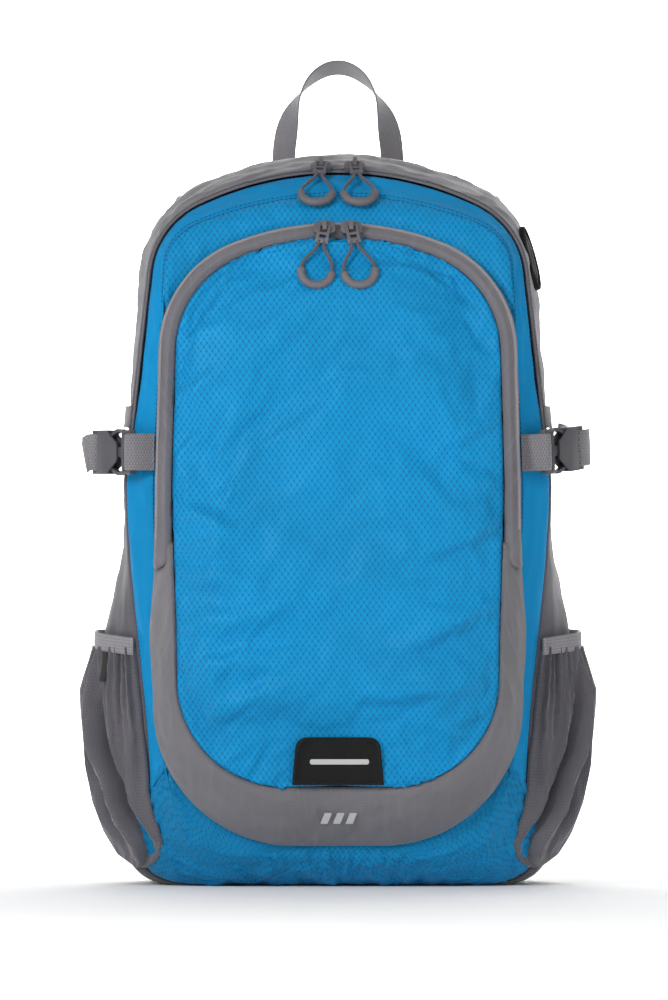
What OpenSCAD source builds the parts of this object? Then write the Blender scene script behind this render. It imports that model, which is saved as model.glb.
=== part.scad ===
// Hiking daypack of about 22 litres: zipped main compartment, zipped front pocket, stretch side
// pockets, compression straps, haul handle and a padded harness with a chest strap.
// Millimetres. The base rests on z = 0, the wearer's side faces +Y and the front pocket faces -Y.

/* [Body] */
// Height of the crest above the base
body_h = 499; // [480:1:520]
// Half width of the body at the waist, where the compression straps pull it in
waist_half = 144.5; // [138:0.5:150]
// Height of the waist
waist_z = 276; // [260:1:290]
// Y of the face that the back pads are sewn to
back_y = 95; // [90:1:105]
// Y of the main front face over its lower half
front_y = -55; // [-60:1:-50]
// Thickness of a sewn, lined wall
wall = 2; // [1.5:0.1:3]

/* [Front pocket] */
// Height of the top of the front pocket
pocket_top = 451; // [440:1:456]
// Half width of the front pocket at the waist
pocket_half = 124; // [118:0.5:126]
// How far the pocket stands out along its lower edge
pocket_low_h = 34; // [25:1:38]
// How far the pocket stands out at its top
pocket_high_h = 11; // [8:0.5:14]
// Extra crown of the pocket's face
pocket_crown = 14; // [8:1:18]

/* [Webbing and buckles] */
// Width of the compression, handle and shoulder webbing
web_w = 25; // [20:1:26]
// Thickness of the webbing
web_t = 1.6; // [1.2:0.1:2]
// Height of the compression straps
strap_z = 295; // [288:1:302]
// How far a side release buckle opens
buckle_travel = 20; // [15:1:25]

/* [Zips] */
// Angle of each parked pocket slider from the middle of its arc
park_angle = 3; // [2.8:0.1:4]
// Angle of each parked main slider from the middle of its arc
main_park_angle = 4; // [3.4:0.1:5]
// Outside width of a pull's grip
grip_w = 26.4; // [24:0.2:26.6]
// Length of a pull, from its hinge to the bottom of its grip
pull_len = 48; // [44:1:50]

/* [Harness] */
// Distance of each shoulder pad's middle from the centre plane
pad_x = 80; // [76:1:84]
// Thickness of a shoulder pad
pad_t = 12; // [10:1:14]
// Height of the chest strap
chest_z = 345; // [335:1:355]

/* [Hidden] */
$fn = 48;

// One section of the body parallel to the front face, as
// [waist half width, lean of the side, crest z, crest radius, shoulder radius,
//  base half width, base corner radius, base z, belly]
SEAM = [waist_half - 20.5, 2.5, body_h - 28, 250, 34, 116, 62, 20, 0];
ZIP = [waist_half - 1, 6.3, body_h - 12, 212, 60, 127, 60, 6, 0];
EDGE = [waist_half, 5, body_h - 4, 220, 66, 140, 42, 0, 8];
CREST = [waist_half, 3.75, body_h, 228, 75, 146, 30, 0, 14];
BACK = [waist_half - 10.5, 3, body_h - 6, 240, 60, 134, 26, 0, 6];
SECTIONS = [SEAM, ZIP, EDGE, CREST, BACK];
// Share of the depth at which each section lies
DEPTHS = [0, 0.1, 0.24, 0.5, 1];
// The front pocket's outer seam, and the inner edge of its welt and lower panel
POCKET_OUT = [pocket_half, 1.5, pocket_top, 195, 80, 126, 96, 27, 3];
POCKET_IN = [pocket_half - 11.5, 1.5, pocket_top - 11, 184, 70, 109, 72, 69, 0];
// Steps along each stretch of half a section: base, base corner, lower side, upper side, shoulder, crest
STEPS = [2, 4, 6, 4, 5, 6];
AT = [0, 2, 6, 12, 16, 21, 27];
gap = 0.3;

function unit(v) = v / norm(v);
function mix(a, b, t) = a + (b - a) * t;
function ease(t) = let (c = min(1, max(0, t))) c * c * (3 - 2 * c);
function flip_x(p) = [-p[0], p[1], p[2]];
function turn_list(a) = [for (i = [len(a) - 1:-1:0]) a[i]];

// Middle of the shoulder arc, tangent to the leaning side and to the crest arc
function shoulder(p) = let (c = cos(p[1]), s = sin(p[1]), k = p[0] * c - p[4],
        h = waist_z - p[2] + p[3], r = p[3] - p[4],
        a = 1 + (s / c) ^ 2, b = 2 * h - 2 * k * s / (c * c), d = h * h + (k / c) ^ 2 - r * r,
        q = (-b + sqrt(b * b - 4 * a * d)) / (2 * a))
    [(k - q * s) / c, waist_z + q];

// The right half of a section in x and z, from the middle of the base to the middle of the crest
function half(p) = let (m = shoulder(p), crest = [0, p[2] - p[3]],
        tip = atan2(m[1] - crest[1], m[0]), side_end = m + p[4] * [cos(p[1]), sin(p[1])])
    concat(
        [for (i = [0:STEPS[0] - 1]) [mix(0, p[5] - p[6], i / STEPS[0]), p[7]]],
        [for (i = [0:STEPS[1] - 1]) let (t = -90 + 90 * i / STEPS[1])
            [p[5] - p[6] + p[6] * cos(t), p[7] + p[6] + p[6] * sin(t)]],
        [for (i = [0:STEPS[2] - 1]) let (s = i / STEPS[2])
            [mix(p[5], p[0], ease(s)) + p[8] * sin(180 * s ^ 1.6), mix(p[7] + p[6], waist_z, s)]],
        [for (i = [0:STEPS[3] - 1]) mix([p[0], waist_z], side_end, i / STEPS[3])],
        [for (i = [0:STEPS[4] - 1]) let (t = mix(p[1], tip, i / STEPS[4]))
            m + p[4] * [cos(t), sin(t)]],
        [for (i = [0:STEPS[5]]) let (t = mix(tip, 90, i / STEPS[5]))
            crest + p[3] * [cos(t), sin(t)]]);

// Y of the main front face at a height: upright below, and rolling back towards the crest
function face_y(z) = front_y + 35 * max(0, (z - 250) / 221) ^ 5;
function depth_y(share, z) = mix(face_y(z), back_y, share);
RINGS = [for (k = [0:4]) [for (q = half(SECTIONS[k])) [q[0], depth_y(DEPTHS[k], q[1]), q[1]]]];

function spline(a, b, c, d, t) = 0.5 * (2 * b + (c - a) * t + (2 * a - 5 * b + 4 * c - d) * t ^ 2
    + (3 * b - a - 3 * c + d) * t ^ 3);
function on_base(p) = [p[0], p[1], max(0, p[2])];

// The body's right half at v, from 0 at the front seam to 4 at the back
function skin(v) = let (k = min(3, floor(v)), t = v - k)
    [for (i = [0:AT[6]]) on_base(spline(RINGS[max(0, k - 1)][i], RINGS[k][i], RINGS[k + 1][i],
        RINGS[min(4, k + 2)][i], t))];

function part_of(a, first, last) = [for (i = [first:last]) a[i]];
// A row that goes over the crest from the right to the left, starting at a point of the half
function arch_row(h, first) = concat(part_of(h, first, AT[6]),
    [for (i = [AT[6] - 1:-1:first]) flip_x(h[i])]);
// A row that goes under the base from the left to the right
function under_row(h, last) = concat([for (i = [last:-1:1]) flip_x(h[i])], part_of(h, 0, last));

// Faces of a closed solid between a grid of points and its copy, seen from outside
function shell_faces(n, m) = let (k = n * m) [
    for (i = [0:n - 2], j = [0:m - 2]) let (a = i * m + j, b = a + m, c = b + 1, d = a + 1)
        each [[a, c, b], [a, d, c], [k + a, k + b, k + c], [k + a, k + c, k + d]],
    for (i = [0:n - 2]) let (a = i * m, b = a + m, c = b + m - 1, d = a + m - 1)
        each [[b, k + a, a], [b, k + b, k + a], [d, k + c, c], [d, k + d, k + c]],
    for (j = [0:m - 2]) let (a = j, d = j + 1, b = (n - 1) * m + j, c = b + 1)
        each [[a, k + d, d], [a, k + a, k + d], [c, k + b, b], [c, k + c, k + b]]];

function grid_normal(g, i, j) = unit(cross(
    g[min(i + 1, len(g) - 1)][j] - g[max(i - 1, 0)][j],
    g[i][min(j + 1, len(g[0]) - 1)] - g[i][max(j - 1, 0)]));

// A cloth of even thickness behind a grid of points
module cloth(g, t) {
    n = len(g);
    m = len(g[0]);
    outer = [for (row = g) each row];
    inner = [for (i = [0:n - 1], j = [0:m - 1]) g[i][j] - t * grid_normal(g, i, j)];
    polyhedron(concat(outer, inner), shell_faces(n, m), convexity = 8);
}

// The same grid with its outer rows and columns drawn in to leave room at the seams
function towards(a, b, d) = a + d * unit(b - a);
function drawn_in(g, d = 0.9) = let (n = len(g) - 1, m = len(g[0]) - 1,
        rows = [for (i = [0:n]) [for (j = [0:m]) i == 0 ? towards(g[0][j], g[1][j], d)
            : i == n ? towards(g[n][j], g[n - 1][j], d) : g[i][j]]])
    [for (row = rows) [for (j = [0:m]) j == 0 ? towards(row[0], row[1], d)
        : j == m ? towards(row[m], row[m - 1], d) : row[j]]];

// A flat strap swept along points, with its width along the given directions
module strap(points, across, half_w, t) {
    n = len(points);
    function run(i) = unit(points[min(i + 1, n - 1)] - points[max(i - 1, 0)]);
    function side(i) = let (a = is_num(across[0]) ? across : across[i])
        unit(a - (a * run(i)) * run(i));
    function wide(i) = is_num(half_w) ? half_w : half_w[i];
    corners = [for (i = [0:n - 1]) let (s = side(i) * wide(i), u = cross(run(i), side(i)) * t / 2)
        each [points[i] + s + u, points[i] - s + u, points[i] - s - u, points[i] + s - u]];
    sides = [for (i = [0:n - 2], j = [0:3]) let (a = 4 * i + j, b = 4 * i + (j + 1) % 4)
        each [[a, b, b + 4], [a, b + 4, a + 4]]];
    polyhedron(corners, concat(sides, [[3, 2, 1, 0]], [[for (j = [0:3]) 4 * n - 4 + j]]),
        convexity = 6);
}

// A round cord swept along points that lie in one plane
module tube(points, normal, r) {
    n = len(points);
    sides = 8;
    function run(i) = unit(points[min(i + 1, n - 1)] - points[max(i - 1, 0)]);
    ring = [for (i = [0:n - 1], j = [0:sides - 1]) let (u = cross(run(i), normal),
        t = 360 * j / sides) points[i] + r * (cos(t) * u + sin(t) * normal)];
    skin_faces = [for (i = [0:n - 2], j = [0:sides - 1]) let (a = sides * i + j,
        b = sides * i + (j + 1) % sides) each [[a, b + sides, b], [a, a + sides, b + sides]]];
    polyhedron(ring, concat(skin_faces, [[for (j = [0:sides - 1]) j]],
        [[for (j = [sides - 1:-1:0]) sides * (n - 1) + j]]), convexity = 6);
}

module right_and_left() {
    children();
    mirror([1, 0, 0]) children();
}

// ---- Main compartment ----

// Rows of points across a half outline, from right to left, bowed out towards the front
function across(outline, first, last, y_of) = [for (i = [first:last]) [for (j = [0:10])
    let (s = 1 - j / 5) [outline[i][0] * s, y_of(outline[i], s), outline[i][1]]]];

// The front panel lies inside the gusset, and a little behind the pocket's seams
module front_panel() {
    d = wall + 0.6;
    behind = 1.4;
    color("dodgerblue") cloth(across(half([SEAM[0] - d, SEAM[1], SEAM[2] - d, SEAM[3] - d, SEAM[4] - d,
        SEAM[5] - d, SEAM[6] - d, SEAM[7] + d, 0]), AT[1], AT[6] - 1,
        function(q, s) face_y(q[1]) + behind), wall);
}

module front_gusset() {
    color("dodgerblue") cloth(drawn_in([for (v = [0:0.25:1]) arch_row(skin(v), AT[2])]), wall);
}

module base_panel() {
    color("steelblue") cloth(drawn_in([for (v = [0, 0.25, 0.5, 0.75, 1, 1.5, 2, 2.5, 3, 3.5, 4])
        under_row(skin(v), AT[2])]), wall);
}

// The rear gusset starts at the height of the compression straps
rear_foot = AT[3] + 1;

module rear_gusset() {
    color("gray") cloth(drawn_in([for (v = [1.12, 1.5, 2, 2.5, 3, 3.5, 4])
        arch_row(skin(v), rear_foot)]), wall);
}

module side_panel() {
    color("dimgray") cloth(drawn_in([for (v = [1, 1.5, 2, 2.5, 3, 3.5, 4])
        part_of(skin(v), AT[2], rear_foot)]), wall);
}
module side_panel_right() side_panel();
module side_panel_left() mirror([1, 0, 0]) side_panel();

module back_outline(inset) {
    h = half([BACK[0] - inset, BACK[1], BACK[2] - inset, BACK[3], BACK[4], BACK[5] - inset,
        BACK[6], BACK[7] + inset, BACK[8]]);
    polygon(concat(h, [for (i = [len(h) - 2:-1:1]) [-h[i][0], h[i][1]]]));
}

back_t = 8;
module back_panel() {
    color("darkslategray") translate([0, back_y, 0]) rotate([90, 0, 0]) linear_extrude(back_t)
        back_outline(wall + 0.6);
}

module rounded_box(w, h, r) {
    offset_w = w / 2 - r;
    offset_h = h / 2 - r;
    square([w, h - 2 * r], center = true);
    square([w - 2 * r, h], center = true);
    for (x = [-offset_w, offset_w], z = [-offset_h, offset_h]) translate([x, z]) circle(r);
}

pad_h = 8;
module back_pads() {
    color("dimgray") for (x = [-62, 62]) translate([x, back_y, 235]) rotate([-90, 0, 0])
        linear_extrude(pad_h) rounded_box(86, 340, 24);
}

// The yoke that the pads are sewn to, with two tabs for the haul handle
tab_h = 47;
module strap_yoke() {
    color("gray") translate([0, back_y + 2, 448]) rotate([90, 0, 0]) linear_extrude(2) {
        rounded_box(196, 30, 10);
        for (x = [-1, 1]) translate([x * handle_half - web_w / 2, 0]) square([web_w, tab_h]);
    }
}

// ---- Zips ----

// The sliders run on arcs that lie in planes tipped back by these angles
main_tip = 40;
pocket_tip = 24;
main_zip_top = [0, depth_y(DEPTHS[1], ZIP[2]), ZIP[2]];
main_arc_r = ZIP[3] * cos(main_tip);
pocket_zip_z = pocket_top - 5.5;
pocket_zip_top = [0, face_y(pocket_zip_z) - pocket_high_h * 1.04, pocket_zip_z];
pocket_arc_r = 190 * cos(pocket_tip);

// Places its children on an arc, at an angle from its top, with x along the arc, y out and z up
module on_arc(top, r, tip, angle, lean) {
    translate(top - r * [0, sin(tip), cos(tip)]) rotate([-tip, 0, 0]) rotate([0, angle, 0])
        translate([0, 0, r]) rotate([tip - lean, 0, 0]) rotate([0, 0, 180]) children();
}

module main_zip_tape() {
    rows = [for (v = [0.9, 1.0, 1.1]) arch_row(skin(v), rear_foot)];
    lifted = [for (i = [0:2]) [for (j = [0:len(rows[0]) - 1])
        rows[i][j] + 1.2 * grid_normal(rows, i, j)]];
    color("gray") cloth(lifted, 0.9);
}

// Two rows of teeth closed into one bead, sampled along an arc
module coil(top, r, tip, reach, lift, bead_r) {
    function at(t) = let (q = [r * sin(t), r * cos(t) - r]) top
        + [q[0], q[1] * sin(tip) - lift * cos(tip), q[1] * cos(tip) + lift * sin(tip)];
    tube([for (i = [-8:8]) at(reach * i / 8)], [0, -cos(tip), sin(tip)], bead_r);
}
module main_zip_coil() color("dimgray") coil(main_zip_top, main_arc_r, main_tip, 22, 2.5, 0.8);

// ---- Front pocket ----

function welt_y(q) = face_y(q[1]) - pocket_rise(q[1]);
// How far the inner edge of the welt and lower panel stands above the main face
function pocket_rise(z) = mix(pocket_high_h, pocket_low_h, ease((400 - z) / 300));
OUT = half(POCKET_OUT);
IN = half(POCKET_IN);
function pocket_point(i, s, rise) = let (q = mix(OUT[i], IN[i], s))
    [q[0], face_y(q[1]) - rise * pocket_rise(q[1]) - gap, q[1]];
// The welt starts above the lower panel's upper ends
welt_foot = AT[2] + 4;

module pocket_face() {
    color("deepskyblue") cloth(drawn_in(across(IN, AT[1], AT[6] - 1,
        function(q, s) welt_y(q) - gap - pocket_crown * (1 - s * s)
            * max(0, sin(180 * (q[1] - IN[0][1]) / (IN[AT[6]][1] - IN[0][1]))) ^ 0.6)), 1.6);
}

module lower_front_panel() {
    rows = [for (s = [0, 0.2, 0.4, 0.7, 1]) [for (i = [welt_foot:-1:0])
        pocket_point(i, s * 0.985, sin(90 * s) ^ 0.8)]];
    color("gray") cloth([for (row = rows) concat(row, [for (i = [len(row) - 2:-1:0]) flip_x(row[i])])],
        1.6);
}

module pocket_zip_welt() {
    columns = [[0, 0], [0.02, 0.5], [0.1, 0.86], [0.5, 1.04], [0.985, 1]];
    rows = [for (c = columns) [for (i = [AT[6]:-1:welt_foot]) pocket_point(i, c[0], c[1])]];
    color("gray") cloth([for (row = rows) concat(
        [for (i = [len(row) - 1:-1:1]) flip_x(row[i])], row)], 1.6);
}

module pocket_zip_coil() color("dimgray")
    coil(pocket_zip_top, pocket_arc_r, pocket_tip, 21, 1.3, 0.7);

// A zip slider in its own frame: x along the zip, y out of the face, z up the face
slider_l = 14.4;
module slider_plan() {
    square([slider_l - 6, 9.2], center = true);
    square([slider_l, 5.6], center = true);
    for (x = [-1, 1], z = [-1, 1]) translate([x * (slider_l / 2 - 3), z * 1.8]) circle(2.8);
}
module slider_body() {
    translate([0, slider_lift, 0]) difference() {
        rotate([90, 0, 0]) linear_extrude(3.8, center = true) slider_plan();
        translate([0, -1.2, 0]) cube([20, 3.1, 4], center = true);
    }
    translate([0, hinge_y, hinge_z]) difference() {
        cube([3, 4.2, 7.2], center = true);
        cube([6, 2.2, 4], center = true);
    }
}
// Height of the middle of a slider's body above the zip line
slider_lift = 3.6;
// The hinge of a pull, in the slider's frame
hinge_y = 7.4;
hinge_z = 0.4;

// A pull in its own frame: the hinge is along x at the origin, and the pull hangs along -z
grip_r = 2.7;
cord_r = 1.1;
grip_mid = grip_w / 2 - grip_r;
leg_top = -14.5;
grip_z = -pull_len + grip_w / 2;
module pull_tab() {
    difference() {
        translate([0, 0, -7]) cube([8.6, 2, 13.6], center = true);
        for (x = [-1.8, 1.8]) translate([x, 0, leg_top]) cylinder(r = 1.25, h = 5, center = true);
        cube([5, 4, 11.4], center = true);
        translate([0, 0, -8.6]) cube([4.6, 4, 2.6], center = true);
    }
    rotate([0, 90, 0]) cylinder(r = 0.8, h = 8, center = true);
}

// The cord runs from the tab through the grip and back to the tab
function leg(s) = [[s * 1.8, 0, leg_top + 2.2], [s * 1.9, 0, leg_top], [s * 3.4, 0, leg_top - 4],
    [s * 7, 0, leg_top - 9.5], [s * 9.6, 0, leg_top - 14], [s * (grip_mid - 0.1), 0, grip_z + 2.6]];
module pull_cord() {
    bow = [for (i = [0:12]) let (t = 180 - 15 * i)
        [-grip_mid * cos(t), 0, grip_z - grip_mid * sin(t)]];
    tube(concat(leg(1), bow, turn_list(leg(-1))), [0, 1, 0], cord_r);
}

module pull_grip() {
    translate([0, 0, grip_z]) rotate([90, 0, 0]) rotate_extrude(angle = 180, start = 180)
        translate([grip_mid, 0]) difference() {
            circle(grip_r);
            circle(cord_r + 0.2);
        }
}

// Places a slider: side is -1 for left and 1 for right
main_lean = 60;
module at_main(side) on_arc(main_zip_top, main_arc_r, main_tip, side * main_park_angle, main_lean)
    children();
module at_pocket(side) on_arc(pocket_zip_top, pocket_arc_r, pocket_tip, side * park_angle,
    pocket_tip) children();
// The pulls fan out a little, and lie along the slope below them
main_pitch = -9;
pocket_pitch = 1;
main_fan = 9;
pocket_fan = 12;
module hung(side, fan, pitch) translate([0, hinge_y, hinge_z]) rotate([pitch, 0, 0])
    rotate([0, side * fan, 0]) children();
module main_hung(side) at_main(side) hung(side, main_fan, main_pitch) children();
module pocket_hung(side) at_pocket(side) hung(side, pocket_fan, pocket_pitch) children();

module main_slider_left() color("gray") at_main(-1) slider_body();
module main_tab_left() color("gray") main_hung(-1) pull_tab();
module main_cord_left() color("dimgray") main_hung(-1) pull_cord();
module main_grip_left() color("gray") main_hung(-1) pull_grip();
module main_slider_right() color("gray") at_main(1) slider_body();
module main_tab_right() color("gray") main_hung(1) pull_tab();
module main_cord_right() color("dimgray") main_hung(1) pull_cord();
module main_grip_right() color("gray") main_hung(1) pull_grip();
module pocket_slider_left() color("gray") at_pocket(-1) slider_body();
module pocket_tab_left() color("gray") pocket_hung(-1) pull_tab();
module pocket_cord_left() color("dimgray") pocket_hung(-1) pull_cord();
module pocket_grip_left() color("gray") pocket_hung(-1) pull_grip();
module pocket_slider_right() color("gray") at_pocket(1) slider_body();
module pocket_tab_right() color("gray") pocket_hung(1) pull_tab();
module pocket_cord_right() color("dimgray") pocket_hung(1) pull_cord();
module pocket_grip_right() color("gray") pocket_hung(1) pull_grip();

// ---- Small trims ----

// The tab lies on the foot of the pocket's face, which leans forward as it rises
tab_at = [0, -91.7, 70.4];
tab_lean = 9.7;
tab_thick = 1.6;
module light_tab() {
    top = 32.6;
    corner = 9;
    color("black") translate(tab_at) rotate([90 + tab_lean, 0, 0]) linear_extrude(tab_thick) {
        polygon([[-31, 0], [31, 0], [28.2, top - corner], [28.2 - corner, top],
            [corner - 28.2, top], [-28.2, top - corner]]);
        for (x = [-1, 1]) translate([x * (28.2 - corner), top - corner]) circle(corner);
    }
}

// A reflective bar on the tab, and three slanted bars printed on the lower panel
module reflective_prints() {
    color("lightgray") translate(tab_at) rotate([90 + tab_lean, 0, 0])
        translate([1, 16, tab_thick + 0.05]) linear_extrude(0.5) rounded_box(40, 3.6, 1.7);
    color("lightgray") translate([0, -78.2, 43.7]) rotate([125.1, 0, 0]) linear_extrude(0.4)
        for (x = [-12, -3.5, 5]) polygon([[x, 0], [x + 5, 0], [x + 8, 9], [x + 3, 9]]);
}

// X and Y of the body's right wall at v and a height
function wall_at(v, z) = let (h = skin(v))
    [lookup(z, [for (i = [AT[1]:AT[5]]) [h[i][2], h[i][0]]]),
     lookup(z, [for (i = [AT[1]:AT[5]]) [h[i][2], h[i][1]]]), z];

module cable_port() {
    at = wall_at(2.25, 427) + [1.8, 0, 0];
    color("black") translate(at) rotate([0, 0, -14]) rotate([0, -15, 0]) rotate([0, 90, 0])
        linear_extrude(3.4) rounded_box(45, 22, 10.9);
}

module zip_end_tabs() {
    color("dimgray") right_and_left() translate(wall_at(1.1, 319) + [3.1, 3, 0])
        rotate([0, -5, -16]) cube([1.8, 13, 15], center = true);
}

// ---- Side pockets ----

// Furthest x of a side pocket at a height
function pocket_out_x(z) = 136.5 + 37 * sin(90 * min(1, (z - 8) / 95)) ^ 0.55 - 7 * ease((z - 120) / 55);
pocket_foot = 12;
hem_z = 162;
hem_h = 12;
// A point of the pouch at u from its front seam to its rear seam
function pouch(u, z, out) = let (v = mix(mix(1, 1.3, ease(z / 190)), 3.85, u), w = wall_at(v, z),
        swell = max(0, pocket_out_x(z) - wall_at(2.6, z)[0] - 2))
    [w[0] + out + swell * sin(180 * u) ^ 0.7, w[1], z];
function pouch_rows(heights, out) = [for (j = [14:-1:0]) [for (z = heights) pouch(j / 14, z, out)]];

module side_pocket() {
    color("gray") cloth(pouch_rows([pocket_foot, 18, 30, 48, 72, 100, 130, hem_z], 2.2), 1.5);
}
module side_pocket_right() side_pocket();
module side_pocket_left() mirror([1, 0, 0]) side_pocket();

module pocket_hems() {
    color("darkgray") right_and_left()
        cloth(pouch_rows([hem_z + gap, hem_z + hem_h / 2, hem_z + hem_h], 2.6), 2);
}

// A small tag sewn on the left pocket, just under its hem
module side_label() {
    color("black") mirror([1, 0, 0]) cloth([for (u = [0.26, 0.24, 0.22, 0.2])
        [for (z = [138:5:158]) pouch(u, z, 3.6) - [0, 2.4, 0]]], 1);
}

// ---- Compression straps ----

// The buckle's frame: x along the strap away from the front seam, y up the body, z out of the strap
buckle_yaw = 56;
buckle_at = [139.5, -58.5, strap_z];
// The right buckle's outer end rides a little higher
function buckle_roll(side) = side > 0 ? 4 : 0;
module at_buckle(side) {
    module placed() translate(buckle_at) rotate([0, 0, buckle_yaw]) rotate([90, 0, 0])
        rotate([0, 0, buckle_roll(side)]) children();
    if (side > 0) placed() children();
    else mirror([1, 0, 0]) placed() children();
}

buckle_w = 30;
male_t = 4.4;
// A thick line in a plane, drawn along points
module stroke(points, width) {
    n = len(points);
    function edge(i, s) = let (r = unit(points[min(i + 1, n - 1)] - points[max(i - 1, 0)]))
        points[i] + s * width / 2 * [-r[1], r[0]];
    polygon(concat([for (i = [0:n - 1]) edge(i, 1)], [for (i = [n - 1:-1:0]) edge(i, -1)]));
}

// A male half: a frame that the webbing folds round, a guide tongue and two bowed, sprung arms
module buckle_male(w) {
    linear_extrude(male_t, center = true) difference() {
        translate([-1, -w / 2]) square([11, w]);
        translate([2.4, -w / 2 + 2.2]) square([4.6, w - 4.4]);
    }
    translate([20, 0, 0]) cube([23, 6.8, male_t], center = true);
    for (s = [-1, 1]) linear_extrude(male_t - 0.4, center = true)
        stroke([[7.8, s * (w / 2 - 2.2)], [12, s * (w / 2 - 0.4)], [16, s * (w / 2 - 0.4)],
            [20, s * (w / 2 - 2)], [24, s * (w / 2 - 4.2)], [28, s * (w / 2 - 4.6)],
            [31, s * (w / 2 - 4.6)]], 2.4);
}

// A female half: two plates that taper towards the male half, closed at the webbing end
module buckle_female(w) {
    mouth = w / 2 - 9;
    for (z = [-4.1, 2.5]) translate([0, 0, z]) linear_extrude(1.6)
        polygon([[14, -mouth], [27, -w / 2], [37, -w / 2], [37, w / 2], [27, w / 2], [14, mouth]]);
    linear_extrude(8.2, center = true) translate([33.5, -w / 2]) square([3.5, w]);
    for (s = [-1, 1]) linear_extrude(8.2, center = true)
        translate([30, s * (w / 2 - 1)]) square([7, 2], center = true);
    linear_extrude(4.2, center = true) difference() {
        translate([36, -w / 2]) square([10.5, w]);
        translate([37.6, -w / 2 + 2.2]) square([5.4, w - 4.4]);
    }
}

module buckle_male_right() color("dimgray") at_buckle(1) buckle_male(buckle_w);
module buckle_male_left() color("dimgray") at_buckle(-1) buckle_male(buckle_w);
module buckle_female_right() color("dimgray") at_buckle(1) buckle_female(buckle_w);
module buckle_female_left() color("dimgray") at_buckle(-1) buckle_female(buckle_w);

module compression_web_front() {
    color("gray") for (s = [-1, 1]) at_buckle(s)
        strap([[-8.6, 0, -12.2], [-6.4, 0, -7.5], [-4.2, 0, -1.6], [-1.6, 0, 2.6], [1.4, 0, 3.6],
            [4, 0, 2.8], [4.9, 0, 0], [4, 0, -2.8], [1.4, 0, -3.6], [-1, 0, -4.4]],
            [0, 1, 0], web_w / 2, web_t);
}

// In the buckle's frame: the tail, the turn round the end bar and the run back to the rear seam
module compression_web(tail) {
    strap(concat(tail, [[47.5, 0, 3.7], [43.4, 0, 3.4], [41, 0, 2.4], [40.3, 0, 0], [41, 0, -2.6],
        [44, 0, -3.7], [49, 0, -5.6], [60, 0, -14], [85, 0, -35], [108, 0, -54], [117, 0, -63]]),
        [0, 1, 0], web_w / 2, web_t);
}
module compression_web_right() color("gray") at_buckle(1)
    compression_web([[56, 0, 0.6], [52, 0, 2.6]]);
module compression_web_left() color("gray") at_buckle(-1)
    compression_web([[58, -4, 4.8], [55, -2.6, 4.6], [51.5, -1, 4.2]]);

// ---- Haul handle ----

handle_half = 37.5;
handle_top = 561;
handle_low = 499.4;
handle_y = 98.2;
module haul_handle() {
    steps = 24;
    angles = [for (i = [0:steps]) 180 * i / steps];
    points = [for (t = angles) [handle_half * cos(t), mix(handle_y, 91, ease(sin(t))),
        handle_low + (handle_top - handle_low) * sin(t)]];
    // The legs turn their outer faces to the front, and the top lies nearly level
    across = [for (t = angles) let (k = ease(sin(t) * 1.35 - 0.35), s = t < 90 ? 1 : -1)
        mix([-0.62 * s, -0.78, 0], [0, -0.93, 0.36], k)];
    color("gray") strap(points, across, web_w / 2, web_t);
}

// ---- Harness ----

// Where the right shoulder pad's middle line passes, and its half width there
PAD_KEYS = [[62, 104.6, 440, 33], [67, 110, 460, 35], [74, 122, 469, 36], [78, 136, 462, 35],
    [pad_x, 146, 436, 33], [pad_x, 150, 400, 31], [pad_x, 150, 345, 30], [pad_x, 150, 295, 30],
    [81, 147, 255, 29], [84, 141, 215, 27], [88, 132, 179, 24]];
pad_steps = 3;
PAD = [for (i = [0:len(PAD_KEYS) - 2], j = [0:pad_steps - (i < len(PAD_KEYS) - 2 ? 1 : 0)])
    spline(PAD_KEYS[max(0, i - 1)], PAD_KEYS[i], PAD_KEYS[i + 1],
        PAD_KEYS[min(len(PAD_KEYS) - 1, i + 2)], j / pad_steps)];

module shoulder_pad() {
    strap([for (p = PAD) [p[0], p[1], p[2]]], [1, 0, 0], [for (p = PAD) p[3]], pad_t);
}
module shoulder_pad_right() color("gray") shoulder_pad();
module shoulder_pad_left() mirror([1, 0, 0]) color("gray") shoulder_pad();

lock_at = [89, 128.4, 166];
lock_tilt = -14;
module at_lock() translate(lock_at) rotate([lock_tilt, 0, 0]) children();
module ladder_lock() {
    at_lock() rotate([90, 0, 0]) linear_extrude(4, center = true) difference() {
        translate([0, -8]) rounded_box(33, 26, 3);
        for (z = [-0.4, -9, -16.6]) translate([0, z]) square([26.6, 4.4], center = true);
    }
}
module ladder_locks() color("dimgray") right_and_left() ladder_lock();

// Sewn into the foot of each pad, round the lock's top bar
module pad_webs() {
    color("gray") right_and_left() at_lock() strap([[0, 1.2, 11.4], [0, 3.1, 7], [0, 3.3, 3],
        [0, 3, 1.2], [0, 1.9, -0.2], [0, 0, -0.7], [0, -1.9, -0.2], [0, -3, 1.2], [0, -3.3, 3],
        [0, -3.1, 7], [0, -1.2, 11.4]], [1, 0, 0], web_w / 2, web_t);
}

// From the lower side seam up to the lock and into its middle slot
module lower_webs() {
    slanted = [0.95, 0, 0.3];
    flat = [1, 0, 0];
    color("gray") right_and_left() strap([[128, 98.9, 42], [121, 101, 62], [112.5, 105, 86],
        [104, 110, 108], [95.6, 115, 128], [91, 118, 138.5], [89.2, 119.3, 143.5],
        [89, 120.8, 149.3], [89, 122.1, 154.2], [89, 123.2, 156.3], [89, 124.5, 157.2]],
        [slanted, slanted, slanted, slanted, slanted, [1, 0, 0.16], flat, flat, flat, flat, flat],
        web_w / 2, web_t);
}

// The free ends hang over the front of the locks
module web_tails() {
    color("gray") right_and_left() at_lock() strap([[0, 0.6, -8.4], [0, 2.2, -8.8],
        [0, 3.2, -11.4], [0, 3.4, -17], [0, 3.8, -26], [0.5, 4, -45], [1.5, 3, -68],
        [2.5, 1.6, -90]], [1, 0, 0], web_w / 2, web_t);
}

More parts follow.
